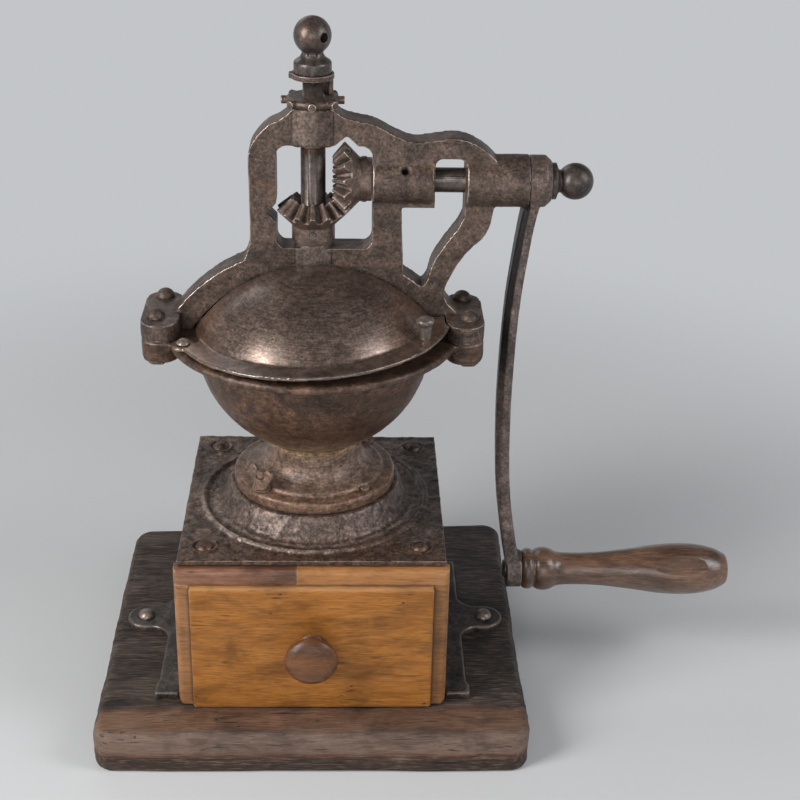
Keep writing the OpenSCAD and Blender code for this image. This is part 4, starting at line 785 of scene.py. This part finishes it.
def gripRelief(p, n):
    # a worn facet on the upper front of the thick end: all beyond a wavy plane is pressed back to it
    s = gripFacet
    low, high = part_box("grip")
    axis = np.array([0, (low[1] + high[1]) / 2, (low[2] + high[2]) / 2])
    out = (p - axis) @ np.array(s["facing"])
    along = (p[:, 0] - low[0]) / (high[0] - low[0])
    plane = (high[2] - low[2]) / 2 - s["depth"] * step(along, *s["start"]) * (1 - step(along, *s["end"]))
    wave = s["wave"] * noiseSum(p, [s["cell"]] * 3, s["seed"], 2)
    return -np.maximum(out - plane + wave, 0) * step(along, *s["cut"])


armBlack = {"facing": (0.45, 0.75), "above": (0.20, 0.30)}


def armLeftShade(p, n):
    # painted shade: the left side of the arm's upper stretch is coloured near black
    return step(-n[:, 0], *armBlack["facing"]) * step(p[:, 2], *armBlack["above"])


castSet = {
    "bridge": {"finish": "bridgeIron", "voxel": 0.0010, "relief": bridgeRelief},
    "hopper": {"finish": "bowlIron", "voxel": 0.00145, "relief": castRelief},
    "lid": {"finish": "lidIron", "voxel": 0.0010},
    "rear_cover": {"finish": "lidIron", "voxel": 0.0011},
    "case": {"finish": "caseIron", "voxel": 0.0014, "relief": castRelief},
    "top_plate": {"finish": "plateIron", "voxel": 0.0010, "rounds": 3, "relief": plateRelief},
    "crank_arm": {"finish": "armIron", "voxel": 0.0009, "rounds": 3, "paintedShade": armLeftShade},
    "base_board": {"finish": "boardWood", "voxel": 0.0016, "rounds": 6, "relief": boardRelief},
    "drawer_front": {"finish": "honeyWood", "voxel": 0.0009},
    "drawer_patch": {"finish": "patchWood", "voxel": 0.0006},
    "grip": {"finish": "gripWood", "voxel": 0.0007, "rounds": 3, "relief": gripRelief},
    "drawer_knob": {"finish": "knobWood", "voxel": 0.0006, "rounds": 3},
    "spindle_gear": {"finish": "gearIron", "voxel": 0.0006, "rounds": 2},
    "crank_gear": {"finish": "gearIron", "voxel": 0.0006, "rounds": 2},
}
smallSet = {  # finish and voxel of the small iron pieces
    "adjusting_nut": ("bridgeIron", 0.0005), "lock_plate": ("bridgeIron", 0.0005),
    "ball_finial": ("ballIron", 0.0006), "ball_nut": ("ballIron", 0.0006),
    "bridge_bolts": ("bridgeIron", 0.0006), "bridge_nuts": ("bridgeIron", 0.0006),
    "wing_nuts": ("bowlIron", 0.0005), "foot_washers": ("bowlIron", 0.0004),
    "foot_studs": ("bowlIron", 0.0004), "foot_dowels": ("bowlIron", 0.0004),
    "lid_peg": ("screwIron", 0.0005), "lid_pivot": ("screwIron", 0.0005),
    "board_screws": ("screwIron", 0.0006), "plate_screws": ("plateIron", 0.0006),
}
castSet.update({n: {"finish": f, "voxel": v, "rounds": 3} for n, (f, v) in smallSet.items()})
for node, s in castSet.items():
    piece = castCopy(node, **s)
    print("piece:", piece.name, len(piece.data.polygons), "faces")

smoothSet = ("spindle", "crank_shaft", "grip_pin", "crank_pin", "spindle_pin", "inner_burr", "outer_burr")
for node in smoothSet:
    print("piece:", smoothCopy(node, "wornSteel").name)

# the remaining solids keep their own shape
drawerBox = ("drawer_left", "drawer_right", "drawer_back", "drawer_bottom")
for node in nodes:
    if node not in castSet and node not in smoothSet:
        mesh = nodes[node].data
        mesh.materials.clear()
        mesh.materials.append(finishes["honeyWood" if node in drawerBox else "wornSteel"])

# plain pale floor: shaded near the object, further out the even tone of the room's horizon
floorSet = {"half": 12.0, "colour": (0.58, 0.59, 0.60), "rough": 0.85, "gloss": 0.1, "fade": (0.30, 0.95),
            "far": tuple(roomSet["level"] * c for c in roomSet["colour"])}


def paleFloor(s):
    side = s["half"]
    mesh = bpy.data.meshes.new("paleFloor")
    corners = [(-side, -side, 0), (side, -side, 0), (side, side, 0), (-side, side, 0)]
    mesh.from_pydata(corners, [], [(0, 1, 2, 3)])
    floorPiece = bpy.data.objects.new("paleFloor", mesh)
    scene.collection.objects.link(floorPiece)
    look = bpy.data.materials.new("paleFloor")
    look.use_nodes = True
    t = look.node_tree
    shader = t.nodes["Principled BSDF"]
    shader.inputs["Base Color"].default_value = (*s["colour"], 1)
    shader.inputs["Roughness"].default_value = s["rough"]
    shader.inputs["Specular IOR Level"].default_value = s["gloss"]
    rays = t.nodes.new("ShaderNodeLightPath").outputs
    seen = calc(t, "ADD", rays["Is Camera Ray"], rays["Is Glossy Ray"])
    seen = calc(t, "ADD", seen, rays["Is Transmission Ray"], clamp=True)
    point = t.nodes.new("ShaderNodeTexCoord").outputs["Object"]
    reach = vectorLength(t, point)
    glow = addNode(t, "ShaderNodeEmission", {"Color": (*s["far"], 1), "Strength": 1.0})
    mixed = addNode(t, "ShaderNodeMixShader", {0: calc(t, "MULTIPLY", seen, ease(t, reach, *s["fade"])),
                                               1: shader.outputs[0], 2: glow.outputs[0]})
    t.links.new(mixed.outputs[0], t.nodes["Material Output"].inputs["Surface"])
    mesh.materials.append(look)


paleFloor(floorSet)
